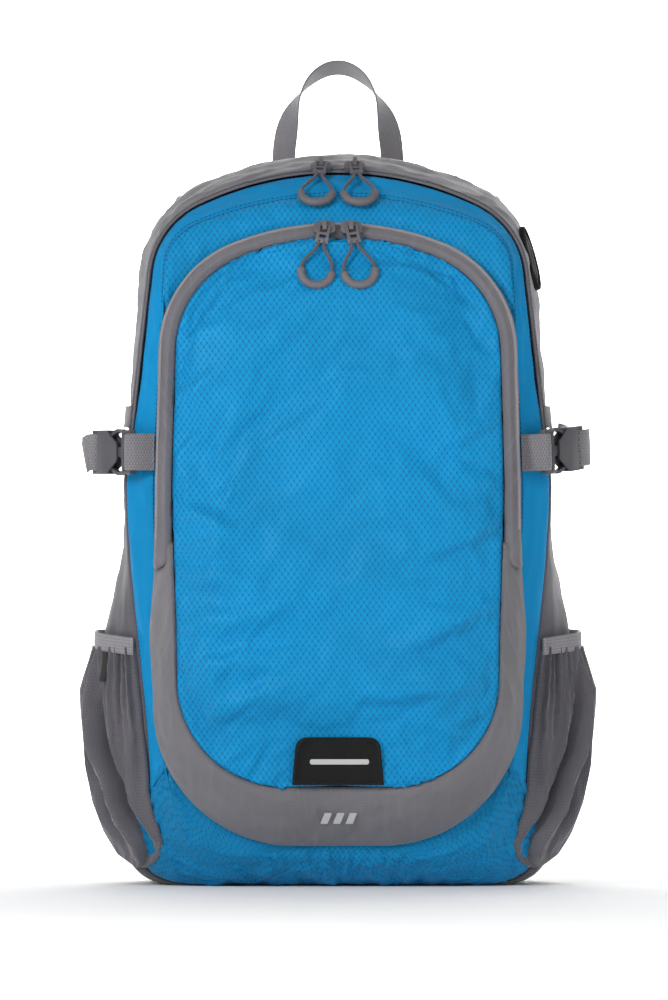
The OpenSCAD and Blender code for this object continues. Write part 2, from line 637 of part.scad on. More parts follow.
module web_anchors() {
    color("gray") right_and_left() translate([0, back_y + 2.3, 0]) rotate([90, 0, 0])
        linear_extrude(2) polygon([[104, 20], [131, 22], [138, 54], [121, 48]]);
}

// Rails that the chest strap's clips slide on, held off the pads at their ends
rail_x = pad_x - 22;
rail_y = 150 + pad_t / 2 + 3;
rail_w = 9;
rail_top = chest_z + 46;
rail_low = chest_z - 46;
module strap_rail() {
    translate([rail_x, rail_y, chest_z]) cube([rail_w, 1.4, rail_top - rail_low], center = true);
    for (z = [rail_top - 3, rail_low + 3]) translate([rail_x, rail_y - 1.5, z])
        cube([rail_w, 2, 6], center = true);
}
module strap_rails() color("gray") right_and_left() strap_rail();

chest_y = rail_y + 5;
chest_w = 20;
module chest_clip() {
    translate([rail_x, rail_y, chest_z]) difference() {
        cube([15, 4.2, 18], center = true);
        cube([rail_w + 0.8, 2.2, 20], center = true);
    }
    translate([rail_x - 8.5, chest_y, chest_z]) rotate([90, 0, 0]) linear_extrude(3, center = true)
        difference() {
            square([10.4, chest_w + 5], center = true);
            translate([-0.6, 0]) square([4.2, chest_w + 0.8], center = true);
        }
    translate([rail_x - 5.1, rail_y + 3, chest_z]) cube([3, 4, 18], center = true);
}
module chest_clips() color("dimgray") right_and_left() chest_clip();

chest_buckle_w = chest_w + 6;
// Each half of the chest webbing runs from a clip to the middle buckle
module chest_web_left() {
    color("gray") strap([[-rail_x + 10.6, chest_y - 3.1, chest_z], [-rail_x + 9, chest_y - 2, chest_z],
        [-rail_x + 8.6, chest_y, chest_z], [-rail_x + 10, chest_y + 2.5, chest_z],
        [-42, chest_y + 3.3, chest_z], [-22.6, chest_y + 3.4, chest_z],
        [-19.9, chest_y + 3.2, chest_z], [-18.7, chest_y + 2.2, chest_z], [-18.2, chest_y, chest_z],
        [-18.7, chest_y - 2.2, chest_z], [-19.9, chest_y - 3.2, chest_z],
        [-22.6, chest_y - 3.4, chest_z], [-34, chest_y - 3.3, chest_z]], [0, 0, 1], chest_w / 2, web_t);
}
module chest_web_right() {
    color("gray") strap([[rail_x - 10.6, chest_y - 3.1, chest_z], [rail_x - 9, chest_y - 2, chest_z],
        [rail_x - 8.6, chest_y, chest_z], [rail_x - 10, chest_y + 2.5, chest_z],
        [42, chest_y + 3.3, chest_z], [22.4, chest_y + 3.4, chest_z], [19.6, chest_y + 3.2, chest_z],
        [18.2, chest_y + 2.2, chest_z], [17.6, chest_y, chest_z], [18.2, chest_y - 2.2, chest_z],
        [19.6, chest_y - 3.2, chest_z], [22.4, chest_y - 3.4, chest_z],
        [36, chest_y - 3.3, chest_z]], [0, 0, 1], chest_w / 2, web_t);
}
module at_chest() translate([-23, chest_y, chest_z]) rotate([-90, 0, 0]) mirror([0, 1, 0])
    children();
module chest_buckle_female() color("dimgray") at_chest() buckle_female(chest_buckle_w);
module chest_buckle_male() color("dimgray") at_chest() buckle_male(chest_buckle_w);

front_panel();
front_gusset();
base_panel();
rear_gusset();
side_panel_left();
side_panel_right();
back_panel();
back_pads();
strap_yoke();
main_zip_tape();
main_zip_coil();
pocket_face();
lower_front_panel();
pocket_zip_welt();
pocket_zip_coil();
light_tab();
reflective_prints();
side_pocket_left();
side_pocket_right();
pocket_hems();
side_label();
cable_port();
zip_end_tabs();
compression_web_front();
buckle_male_left();
buckle_male_right();
buckle_female_left();
buckle_female_right();
compression_web_left();
compression_web_right();
haul_handle();
shoulder_pad_left();
shoulder_pad_right();
pad_webs();
ladder_locks();
web_tails();
strap_rails();
lower_webs();
web_anchors();
chest_clips();
chest_web_left();
chest_web_right();
chest_buckle_female();
chest_buckle_male();
main_slider_left();
main_tab_left();
main_cord_left();
main_grip_left();
main_slider_right();
main_tab_right();
main_cord_right();
main_grip_right();
pocket_slider_left();
pocket_tab_left();
pocket_cord_left();
pocket_grip_left();
pocket_slider_right();
pocket_tab_right();
pocket_cord_right();
pocket_grip_right();
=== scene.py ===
"""Looks of the hiking daypack: sewn panels, webbing, buckles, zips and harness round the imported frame."""

import math

import bmesh
import bpy
import numpy as np
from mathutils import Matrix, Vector, noise


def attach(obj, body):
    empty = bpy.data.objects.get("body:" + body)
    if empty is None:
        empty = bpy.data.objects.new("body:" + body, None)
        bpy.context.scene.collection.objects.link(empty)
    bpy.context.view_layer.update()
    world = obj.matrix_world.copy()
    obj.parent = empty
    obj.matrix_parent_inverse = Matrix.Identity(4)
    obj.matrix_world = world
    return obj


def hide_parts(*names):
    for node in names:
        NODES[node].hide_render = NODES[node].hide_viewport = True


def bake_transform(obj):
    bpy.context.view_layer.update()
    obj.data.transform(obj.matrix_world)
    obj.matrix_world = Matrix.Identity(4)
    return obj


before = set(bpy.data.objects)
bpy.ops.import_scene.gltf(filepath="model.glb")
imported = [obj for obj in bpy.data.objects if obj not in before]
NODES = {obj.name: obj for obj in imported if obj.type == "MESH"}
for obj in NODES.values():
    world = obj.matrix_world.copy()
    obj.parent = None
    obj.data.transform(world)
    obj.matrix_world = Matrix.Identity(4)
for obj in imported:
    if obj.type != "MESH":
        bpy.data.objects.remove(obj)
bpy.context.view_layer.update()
MM = 0.001

# ---------------------------------------------------------------- Sewing plan, in millimetres

BODY_H = 499.0
WAIST_HALF = 144.5
WAIST_Z = 276.0
BACK_Y = 95.0
FRONT_Y = -55.0
WEB_W = 25.0
WEB_T = 1.6
POCKET_HIGH_H = 11.0
POCKET_LOW_H = 34.0
POCKET_CROWN = 14.0
POCKET_TOP = 451.0
SIDES = {"left": -1, "right": 1}


class Section:
    """One outline of the body parallel to its front face, as the cutter would draw it"""

    def __init__(self, half, lean, top, crest, shoulder, base, corner, foot, belly):
        self.half, self.top, self.crest, self.shoulder = half, top, crest, shoulder
        self.base, self.corner, self.foot, self.belly = base, corner, foot, belly
        self.lean = math.radians(lean)
        c, s = math.cos(self.lean), math.sin(self.lean)
        k = half * c - shoulder
        h = WAIST_Z - top + crest
        a = 1 + (s / c) ** 2
        b = 2 * h - 2 * k * s / (c * c)
        d = h * h + (k / c) ** 2 - (crest - shoulder) ** 2
        q = (-b + math.sqrt(b * b - 4 * a * d)) / (2 * a)
        self.middle = np.array([(k - q * s) / c, WAIST_Z + q])
        self.tip = math.atan2(self.middle[1] - (top - crest), self.middle[0])

    def inset(self, d):
        return Section(self.half - d, math.degrees(self.lean), self.top - d, self.crest,
                       self.shoulder, self.base - d, self.corner, self.foot + d, self.belly)

    def at(self, u):
        """x and z for u: 0-1 base, 1-2 its corner, 2-3 lower side, 3-4 upper side, 4-5 shoulder, 5-6 crest"""
        u = np.clip(np.asarray(u, float), 0, 6)
        k = np.minimum(np.floor(u), 5)
        t = u - k
        corner = np.radians(-90 + 90 * t)
        turn = mix(self.lean, self.tip, t)
        over = mix(self.tip, math.pi / 2, t)
        end = self.middle + self.shoulder * np.array([math.cos(self.lean), math.sin(self.lean)])
        stretches = [
            (mix(0, self.base - self.corner, t), np.full_like(t, self.foot)),
            (self.base - self.corner + self.corner * np.cos(corner),
             self.foot + self.corner + self.corner * np.sin(corner)),
            (mix(self.base, self.half, ease(t)) + self.belly * self.flare(t),
             mix(self.foot + self.corner, WAIST_Z, t)),
            (mix(self.half, end[0], t), mix(WAIST_Z, end[1], t)),
            (self.middle[0] + self.shoulder * np.cos(turn),
             self.middle[1] + self.shoulder * np.sin(turn)),
            (self.crest * np.cos(over), self.top - self.crest + self.crest * np.sin(over)),
        ]
        x = np.choose(k.astype(int), [s[0] for s in stretches])
        z = np.choose(k.astype(int), [s[1] for s in stretches])
        return x, z

    def line(self, u):
        """Points of both halves, x taken as positive"""
        return np.stack(self.at(np.abs(u)), -1)

    def flare(self, t):
        """The sides stand out below the waist, where the side pockets hold them"""
        z = mix(self.foot + self.corner, WAIST_Z, t)
        return ease((240 - z) / 80) * ease(t / 0.35)

    def half_at(self, z):
        """Half width at a height"""
        u = np.linspace(1, 6, 400)
        x, heights = self.at(u)
        return np.interp(z, heights, x)


def mix(a, b, t):
    return a + (b - a) * t


def ease(t):
    t = np.clip(t, 0, 1)
    return t * t * (3 - 2 * t)


SEAM = Section(WAIST_HALF - 20.5, 2.5, BODY_H - 28, 250, 34, 116, 62, 20, 0)
ZIP = Section(WAIST_HALF - 1, 6.3, BODY_H - 12, 212, 60, 127, 60, 6, 0)
EDGE = Section(WAIST_HALF, 5, BODY_H - 4, 220, 66, 140, 42, 0, 8)
CREST = Section(WAIST_HALF, 3.75, BODY_H, 228, 75, 146, 30, 0, 14)
BACK = Section(WAIST_HALF - 10.5, 3, BODY_H - 6, 240, 60, 134, 26, 0, 6)
SECTIONS = [SEAM, ZIP, EDGE, CREST, BACK]
DEPTHS = [0, 0.1, 0.24, 0.5, 1]
POCKET_OUT = Section(124, 1.5, POCKET_TOP, 195, 80, 126, 96, 27, 3)
POCKET_IN = Section(112.5, 1.5, POCKET_TOP - 11, 184, 70, 109, 72, 69, 0)


def face_y(z):
    return FRONT_Y + 35 * np.maximum(0, (np.asarray(z, float) - 250) / 221) ** 5


def depth_y(share, z):
    return mix(face_y(z), BACK_Y, share)


def pocket_rise(z):
    return mix(POCKET_HIGH_H, POCKET_LOW_H, ease((400 - np.asarray(z, float)) / 300))


def skin(v, u):
    """Points of the body's right half: v runs from the front seam, 0, to the back, 4"""
    v, u = np.broadcast_arrays(np.asarray(v, float), np.asarray(u, float))
    rings = []
    for section, share in zip(SECTIONS, DEPTHS):
        x, z = section.at(u)
        rings.append(np.stack([x, depth_y(share, z), z], -1))
    rings = np.stack(rings)
    k = np.minimum(np.floor(v), 3).astype(int)
    t = (v - k)[..., None]

    def ring(i):
        return np.take_along_axis(rings, np.clip(i, 0, 4)[None, ..., None], 0)[0]

    a, b, c, d = ring(k - 1), ring(k), ring(k + 1), ring(k + 2)
    p = 0.5 * (2 * b + (c - a) * t + (2 * a - 5 * b + 4 * c - d) * t ** 2
               + (3 * b - a - 3 * c + d) * t ** 3)
    p[..., 2] = np.maximum(p[..., 2], 0)
    return p


def wall_at(v, z):
    """The point of the right wall at v and a height"""
    u = np.linspace(1.02, 5, 260)
    p = skin(v, u)
    return np.array([np.interp(z, p[:, 2], p[:, 0]), np.interp(z, p[:, 2], p[:, 1]), z])


# ---------------------------------------------------------------- Finishes


class Sock:
    """A socket of a finish. Arithmetic on it adds the Math nodes that work it out."""

    def __init__(self, finish, socket):
        self.finish, self.socket = finish, socket

    def math(self, operation, *others):
        return self.finish.node("ShaderNodeMath", dict(enumerate((self,) + others)), operation=operation)

    def __add__(self, other):
        return self.math("ADD", other)

    def __sub__(self, other):
        return self.math("SUBTRACT", other)

    def __rsub__(self, other):
        return self.math("MULTIPLY_ADD", -1.0, other)

    def __mul__(self, other):
        return self.math("MULTIPLY", other)

    def __truediv__(self, other):
        return self.math("DIVIDE", other)

    def __pow__(self, other):
        return self.math("POWER", other)

    __radd__ = __add__
    __rmul__ = __mul__

    def least(self, other):
        return self.math("MINIMUM", other)

    def most(self, other):
        return self.math("MAXIMUM", other)

    def wave(self, pitch, shift=0.0):
        """A smooth wave from 0 to 1, with one crest every pitch"""
        return (self * (2 * math.pi / pitch) + shift).math("SINE") * 0.5 + 0.5

    def ridge(self):
        """1 at whole numbers, falling to 0 half way between them"""
        return (self.math("FRACT") - 0.5).math("ABSOLUTE") * 2

    def step(self, low, high):
        return self.finish.node(
            "ShaderNodeMapRange",
            {"Value": self, "From Min": low, "From Max": high},
            interpolation_type="SMOOTHSTEP",
        )


def rgb(r, g, b):
    """A linear colour from one given as 0 to 255"""
    shares = (c / 255 for c in (r, g, b))
    return tuple(((c + 0.055) / 1.055) ** 2.4 if c > 10 / 255 else c / 12.92 for c in shares) + (1.0,)


class Finish:
    """A material, and the nodes that vary it"""

    def __init__(self, name, **fixed):
        self.material = bpy.data.materials.new(name)
        self.material.use_nodes = True
        self.nodes = self.material.node_tree.nodes
        self.shader = self.nodes["Principled BSDF"]
        for socket, value in fixed.items():
            self.shader.inputs[socket.replace("_", " ")].default_value = value

    def node(self, kind, inputs=None, out=0, **settings):
        made = self.nodes.new(kind)
        for name, value in settings.items():
            setattr(made, name, value)
        for key, value in (inputs or {}).items():
            if isinstance(value, Sock):
                self.material.node_tree.links.new(value.socket, made.inputs[key])
            else:
                made.inputs[key].default_value = value
        return Sock(self, made.outputs[out])

    def split(self, source):
        """x, y and z of the Object or UV coordinates"""
        place = self.node("ShaderNodeTexCoord", out=source)
        parts = self.node("ShaderNodeSeparateXYZ", {0: place}).socket.node.outputs
        return [Sock(self, part) for part in parts]

    def noise(self, scale, detail=2.0, source="Object", stretch=None):
        place = self.node("ShaderNodeTexCoord", out=source)
        if stretch:
            place = self.node("ShaderNodeMapping", {"Vector": place, "Scale": stretch})
        return self.node("ShaderNodeTexNoise", {"Vector": place, "Scale": scale, "Detail": detail})

    def mixed(self, share, a, b):
        return self.node("ShaderNodeMix", {0: share, 6: a, 7: b}, out=2, data_type="RGBA")

    def feed(self, height=None, depth=0.0002, strength=1.0, **sockets):
        """Links what varies to the shader, and the height through a Bump node"""
        if height is not None:
            sockets["Normal"] = self.node(
                "ShaderNodeBump", {"Height": height, "Distance": depth, "Strength": strength}
            )
        for name, value in sockets.items():
            self.material.node_tree.links.new(value.socket, self.shader.inputs[name.replace("_", " ")])
        return self.material


def shade(colour, factor):
    return tuple(c * factor for c in colour[:3]) + (1.0,)


def ripstop(name, colour, wide=0.004, tall=0.0056):
    """Light nylon with a diamond grid of thicker yarns, knotted where they cross"""
    f = Finish(name, Sheen_Weight=0.04, Specular_IOR_Level=0.42, Specular_Tint=(0.35, 0.8, 1.0, 1.0))
    x, z, _ = f.split("UV")
    one, two = (x / wide + z / tall).ridge(), (x / wide - z / tall).ridge()
    yarn = one.most(two).step(0.80, 0.97)
    knot = one.least(two).step(0.62, 0.9)
    weave = x.wave(0.0009).most(z.wave(0.0009))
    cloud = f.noise(11, 5)
    fleck = f.noise(420, 2)
    base = f.mixed(cloud.step(0.3, 0.72), shade(colour, 0.90), shade(colour, 1.07))
    base = f.mixed(yarn * 0.55, base, shade(colour, 0.5))
    base = f.mixed(knot * 0.7, base, shade(colour, 0.16))
    base = f.mixed(fleck.step(0.55, 0.8) * 0.18, base, shade(colour, 1.3))
    return f.feed(yarn * 0.7 - knot * 0.9 + weave * 0.12 + fleck * 0.1, 0.00035, 0.55, Base_Color=base,
                  Roughness=cloud * 0.12 + yarn * -0.24 + 0.46)


def dobby(name, colour):
    """Nylon with a fine pattern of small woven dots"""
    f = Finish(name, Sheen_Weight=0.04, Specular_IOR_Level=0.32, Specular_Tint=(0.35, 0.8, 1.0, 1.0))
    x, z, _ = f.split("UV")
    one, two = (x / 0.0021 + z / 0.0026).ridge(), (x / 0.0021 - z / 0.0026).ridge()
    dot = (one * two).step(0.5, 0.85)
    weave = x.wave(0.0008).most(z.wave(0.0008))
    cloud = f.noise(9, 5)
    base = f.mixed(cloud.step(0.3, 0.72), shade(colour, 0.90), shade(colour, 1.06))
    base = f.mixed(dot * 0.6, base, shade(colour, 0.5))
    return f.feed(weave * 0.2 - dot * 0.8, 0.0003, 0.5, Base_Color=base, Roughness=cloud * 0.1 + 0.5)


def oxford(name, colour, pitch=0.0011, rough=0.72):
    """Plain woven polyester with slightly uneven yarns"""
    f = Finish(name, Sheen_Weight=0.25, Specular_IOR_Level=0.3)
    x, z, _ = f.split("UV")
    slub = f.noise(160, 3, "UV", (1, 0.12, 1))
    warp, weft = x.wave(pitch), z.wave(pitch)
    over = (x / (2 * pitch)).ridge() * (z / (2 * pitch)).ridge()
    weave = warp * over + weft * (1 - over)
    cloud = f.noise(14, 4)
    base = f.mixed(cloud.step(0.25, 0.75), shade(colour, 0.88), shade(colour, 1.08))
    base = f.mixed(weave * 0.5, base, shade(colour, 0.62))
    base = f.mixed(slub.step(0.5, 0.75) * 0.3, base, shade(colour, 1.3))
    return f.feed(weave * 0.8 + slub * 0.3, 0.00022, 0.5, Base_Color=base, Roughness=cloud * 0.12 + rough)


def stretch_mesh(name, colour):
    """Knitted stretch fabric with fine rows of pinholes"""
    f = Finish(name, Sheen_Weight=0.3, Specular_IOR_Level=0.3)
    x, z, _ = f.split("UV")
    row = z / 0.0022
    hole = ((x / 0.0019).ridge() * row.ridge()).step(0.42, 0.8)
    rib = x.wave(0.0019)
    cloud = f.noise(18, 4)
    base = f.mixed(cloud.step(0.25, 0.75), shade(colour, 0.86), shade(colour, 1.1))
    base = f.mixed(hole * 0.75, base, shade(colour, 0.3))
    return f.feed(rib * 0.3 - hole * 0.9, 0.0003, 0.6, Base_Color=base, Roughness=cloud * 0.1 + 0.7)


def spacer_mesh(name, colour):
    """Thick air mesh: round holes in rows that are set half a step over"""
    f = Finish(name, Sheen_Weight=0.3, Specular_IOR_Level=0.25)
    x, z, _ = f.split("UV")
    one, two = (x / 0.0044 + z / 0.0056).ridge(), (x / 0.0044 - z / 0.0056).ridge()
    hole = (one * two).step(0.35, 0.7)
    knit = x.wave(0.0009).most(z.wave(0.0009))
    cloud = f.noise(16, 4)
    base = f.mixed(cloud.step(0.3, 0.7), shade(colour, 0.85), shade(colour, 1.12))
    base = f.mixed(hole * 0.85, base, shade(colour, 0.22))
    return f.feed(knit * 0.25 - hole, 0.0007, 0.8, Base_Color=base, Roughness=knit * 0.1 + 0.75)


def webbing_weave(name, colour, pitch=0.0019, rough=0.62):
    """Woven strap: ribs along it, crossed by rows of weft, with a firmer edge"""
    f = Finish(name, Sheen_Weight=0.25, Specular_IOR_Level=0.35)
    x, z, _ = f.split("UV")
    rib = x.wave(pitch * 1.05)
    row = z.wave(pitch, 0.0)
    shifted = z.wave(pitch, math.pi)
    side = (x / (pitch * 2.1)).ridge().step(0.4, 0.6)
    knit = row * side + shifted * (1 - side)
    cloud = f.noise(30, 4)
    base = f.mixed(cloud.step(0.25, 0.75), shade(colour, 0.86), shade(colour, 1.1))
    # Painted highlight on the weave's raised crests, and painted shade in the gaps between the weft rows
    base = f.mixed(knit * rib * 0.75, base, shade(colour, 1.45))
    base = f.mixed((1 - knit).step(0.75, 1.0) * 0.55, base, shade(colour, 0.4))
    return f.feed(rib * 0.4 + knit * 0.8, 0.0004, 0.8, Base_Color=base, Roughness=cloud * 0.1 + rough)


def ribbed(name, colour):
    """Elastic binding with fine ribs along it"""
    f = Finish(name, Sheen_Weight=0.25, Specular_IOR_Level=0.3)
    x, z, _ = f.split("UV")
    rib = z.wave(0.0021)
    knit = x.wave(0.0012)
    cloud = f.noise(25, 4)
    base = f.mixed(cloud.step(0.3, 0.7), shade(colour, 0.92), shade(colour, 1.08))
    # Painted shade: the troughs between the ribs are drawn darker
    base = f.mixed((1 - rib).step(0.7, 1.0) * 0.45, base, shade(colour, 0.5))
    return f.feed(rib * 0.8 + knit * 0.2, 0.0003, 0.7, Base_Color=base, Roughness=cloud * 0.1 + 0.7)


def moulded(name, colour, rough, grain=900, worn=0.25, **fixed):
    """Moulded plastic or rubber with a fine spark grain, rubbed a little brighter in places"""
    f = Finish(name, **fixed)
    spark = f.noise(grain, 3)
    cloud = f.noise(22, 4)
    smear = f.noise(70, 3, stretch=(1, 1, 0.3))
    base = f.mixed(cloud.step(0.3, 0.75), shade(colour, 0.88), shade(colour, 1.12))
    base = f.mixed(smear.step(0.58, 0.75) * worn, base, shade(colour, 1.5))
    return f.feed(spark, 0.00012, 0.35, Base_Color=base, Roughness=smear * 0.16 + spark * 0.08 + rough)


def braided(name, colour):
    """Cord whose strands cross as they wind round it"""
    f = Finish(name, Sheen_Weight=0.2, Specular_IOR_Level=0.3)
    x, z, _ = f.split("UV")
    one, two = (x * 4 + z / 0.0024).ridge(), (x * 4 - z / 0.0024).ridge()
    strand = one.most(two)
    cloud = f.noise(60, 3)
    # Painted light: the strands' crests are drawn lighter and the grooves between them darker
    base = f.mixed(strand * 0.6, shade(colour, 0.6), shade(colour, 1.2))
    base = f.mixed(cloud.step(0.4, 0.7) * 0.3, base, shade(colour, 0.8))
    return f.feed(strand, 0.0002, 0.7, Base_Color=base, Roughness=cloud * 0.1 + 0.65)


def glass_bead(name, colour):
    """Reflective film with a fine honeycomb of beads"""
    f = Finish(name, Specular_IOR_Level=0.6, Coat_Weight=0.3, Coat_Roughness=0.25)
    x, _, z = f.split("Object")
    cell = ((x / 0.0009 + z / 0.0009).ridge() * (x / 0.0009 - z / 0.0009).ridge()).step(0.3, 0.8)
    cloud = f.noise(120, 3)
    base = f.mixed(cell * 0.25, colour, shade(colour, 0.7))
    return f.feed(cell, 0.00008, 0.4, Base_Color=base, Roughness=cloud * 0.2 + 0.3)


BLUE = rgb(11, 146, 208)
GREY = rgb(122, 120, 125)
CLOTH = {
    "ripstop_blue": ripstop("Blue diamond ripstop", BLUE),
    "dobby_blue": dobby("Blue dotted nylon", shade(BLUE, 0.97)),
    # The base's ripstop is the front's blue at 0.8 of its brightness: painted shade for the darker bottom of
    # the bag
    "base_blue": ripstop("Blue ripstop of the base with painted shade", shade(BLUE, 0.8)),
    "base_dark": oxford("Dark base cloth", rgb(52, 54, 60)),
    "grey_fabric": oxford("Grey woven polyester", GREY),
    "grey_light": oxford("Pale grey piping", rgb(152, 149, 153)),
    "grey_stretch": stretch_mesh("Grey stretch mesh", rgb(98, 96, 102)),
    "grey_binding": ribbed("Grey elastic binding", rgb(150, 147, 152)),
    "foam_back": oxford("Back panel cloth", rgb(92, 91, 96)),
    "air_mesh": spacer_mesh("Air mesh", rgb(104, 103, 108)),
    "grey_webbing": webbing_weave("Grey webbing", rgb(128, 126, 131)),
    "zip_coil": moulded("Zip teeth", rgb(96, 95, 100), 0.4),
    "black_rubber": moulded("Black rubber", rgb(11, 11, 12), 0.5, 700, 0.2, Specular_IOR_Level=0.3),
    "reflective": glass_bead("Reflective film", rgb(196, 196, 196)),
    "black_label": webbing_weave("Black woven label", rgb(24, 24, 25), 0.0008),
    "buckle_plastic": moulded("Grey acetal", rgb(84, 83, 88), 0.38),
    "zip_metal": moulded("Grey lacquered metal", rgb(112, 110, 115), 0.36, 500, 0.35, Metallic=0.35),
    "pull_cord": braided("Grey braided cord", rgb(104, 102, 108)),
    "grip_plastic": moulded("Grey soft grip", rgb(110, 108, 113), 0.5, 1200, 0.1),
    "thread_grey": braided("Grey thread", rgb(120, 118, 124)),
    "thread_dark": braided("Dark blue thread", rgb(8, 62, 104)),
}

# ---------------------------------------------------------------- Cutting and sewing

HEART = np.array([0.0, 22.0, 250.0])


def unit(v):
    return v / np.maximum(np.linalg.norm(v, axis=-1, keepdims=True), 1e-9)


def eased(n, tight=0.7):
    """n shares from 0 to 1, closer together near both ends"""
    t = np.linspace(0, 1, n)
    return t - tight * np.sin(2 * np.pi * t) / (2 * np.pi)


def normals(grid, inside=HEART):
    """Outward directions at the points of a grid"""
    n = unit(np.cross(np.gradient(grid, axis=0), np.gradient(grid, axis=1)))
    return n if np.sum(n * (grid - inside)) > 0 else -n


def arcs(grid, axis):
    """Length along rows or columns, from their start"""
    steps = np.linalg.norm(np.diff(grid, axis=axis), axis=-1)
    total = np.cumsum(steps, axis=axis)
    pad = np.zeros_like(np.take(total, [0], axis=axis))
    return np.concatenate([pad, total], axis=axis)


def laid_flat(grid):
    """The cloth's own coordinates: lengths from the middle of each row, and from the first row"""
    along = arcs(grid, 1)
    return np.stack([along - along[:, [along.shape[1] // 2]], arcs(grid, 0)], -1)


def from_edge(grid, edge):
    axis = 0 if edge in ("first", "last") else 1
    length = arcs(grid, axis)
    if edge in ("last", "end"):
        length = np.take(length, [-1], axis=axis) - length
    return length


def seamed(grid, edges, depth=1.5, width=1.5, pucker=0.22, pitch=4.0, inside=HEART):
    """Rolls the named edges down into their seams, with a small pucker at each stitch"""
    drop = np.zeros(grid.shape[:2])
    for edge in edges.split():
        away = from_edge(grid, edge)
        along = arcs(grid, 1 if edge in ("first", "last") else 0)
        drop += depth * np.exp(-((away / width) ** 2))
        stitches = 0.5 + 0.5 * np.sin(2 * np.pi * along / pitch)
        drop += pucker * np.exp(-((away / (2.6 * width)) ** 2)) * stitches
    return grid - normals(grid, inside) * drop[..., None]


def rough(flat, size, seed, stretch=(1.0, 1.0), turn=0.0, octaves=2):
    """Smooth noise over flat cloth, about -1 to 1"""
    c, s = math.cos(turn), math.sin(turn)
    x, y = flat[..., 0] * c + flat[..., 1] * s, flat[..., 1] * c - flat[..., 0] * s
    x, y = x / (size * stretch[0]), y / (size * stretch[1])
    values = [noise.fractal(Vector((a, b, seed)), 0.8, 2.0, octaves) for a, b in zip(x.ravel(), y.ravel())]
    return np.array(values).reshape(x.shape)


def creased(grid, height, size, seed, stretch=(1.0, 1.0), turn=0.0, fade=9.0, inside=HEART, sharp=0.6):
    """Soft creases that die away at the edges: valleys are rounder than their ridges"""
    flat = laid_flat(grid)
    n = rough(flat, size, seed, stretch, turn)
    ridge = 1 - np.abs(rough(flat, size * 0.8, seed + 9.3, stretch, turn)) * 2.2
    lift = (1 - sharp) * n + sharp * (np.maximum(ridge, 0) ** 2 - 0.35)
    edge = np.minimum.reduce([from_edge(grid, e) for e in ("first", "last", "start", "end")])
    return grid + normals(grid, inside) * (height * lift * ease(edge / fade))[..., None]


def fold(place, start, end, width, height):
    """Height of one soft fold between two places, steeper on one side"""
    start, end = np.array(start, float), np.array(end, float)
    run = end - start
    length = np.linalg.norm(run)
    t = ((place - start) @ run) / length**2
    side = ((place - start) @ np.array([-run[1], run[0]])) / length / width
    ends = np.clip(t * (1 - t) * 4, 0, 1) ** 0.7
    return height * ends * np.exp(-np.where(side > 0, (side * 1.5) ** 2, (side * 0.75) ** 2))


def stitched(name, points, faces, flat, finish, smooth=True):
    """A mesh object from points in millimetres, with the cloth's own coordinates as its UV map"""
    mesh = bpy.data.meshes.new(name)
    mesh.from_pydata((np.asarray(points, float) * MM).tolist(), [], faces)
    layer = mesh.uv_layers.new(name="Cloth")
    corners = np.empty(len(mesh.loops), np.int32)
    mesh.loops.foreach_get("vertex_index", corners)
    layer.data.foreach_set("uv", (np.asarray(flat, float)[corners] * MM).astype(np.float32).ravel())
    mesh.polygons.foreach_set("use_smooth", np.full(len(mesh.polygons), smooth))
    mesh.materials.append(CLOTH[finish])
    obj = bpy.data.objects.new(name, mesh)
    bpy.context.collection.objects.link(obj)
    obj["finish"] = finish
    return obj


def quads(n, m, closed=False):
    i, j = np.meshgrid(np.arange(n - 1), np.arange(m if closed else m - 1), indexing="ij")
    a, b = i * m + j, i * m + (j + 1) % m
    return np.stack([a, b, b + m, a + m], -1).reshape(-1, 4)


def panel(name, grid, finish, flat=None, inside=HEART, thick=0.9):
    """A cut panel: a grid of points, given a thickness towards the inside"""
    n, m = grid.shape[:2]
    faces = quads(n, m)
    p = grid.reshape(-1, 3)
    facing = np.cross(p[faces[:, 1]] - p[faces[:, 0]], p[faces[:, 2]] - p[faces[:, 0]])
    if np.sum(facing * (p[faces[:, 0]] - inside)) < 0:
        faces = faces[:, ::-1]
    flat = laid_flat(grid) if flat is None else flat
    obj = stitched(name, p, faces.tolist(), flat.reshape(-1, 2), finish)
    return thickened(obj, thick) if thick else obj


def thickened(obj, thick=0.9):
    wall = obj.modifiers.new("Cloth thickness", "SOLIDIFY")
    wall.thickness, wall.offset, wall.use_even_offset = thick * MM, -1, False
    return obj


def fixed(obj):
    """Turns what the modifiers give into the object's own mesh"""
    graph = bpy.context.evaluated_depsgraph_get()
    mesh = bpy.data.meshes.new_from_object(obj.evaluated_get(graph), depsgraph=graph)
    obj.modifiers.clear()
    obj.data = mesh
    return obj


def joined(name, parts):
    """One object from several that share a finish"""
    with bpy.context.temp_override(active_object=parts[0], selected_editable_objects=parts):
        bpy.ops.object.join()
    parts[0].name = name
    parts[0].data.name = name
    return parts[0]


def mirrored(grid):
    return grid * np.array([-1.0, 1.0, 1.0])


def on(body, obj, instead=()):
    """Fixes a piece to a body, and hides the nodes it stands for"""
    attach(obj, body)
    if instead:
        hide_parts(*([instead] if isinstance(instead, str) else instead))


def sewn(name, grid, finish, instead=(), **cut):
    """Cuts a panel and fixes it to the bag"""
    on("pack", fixed(panel(name, grid, finish, **cut)), instead)


def sewn_across(web, node):
    """A strap between two bodies: its place is baked into its mesh, and its own node is hidden"""
    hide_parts(node)
    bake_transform(web)


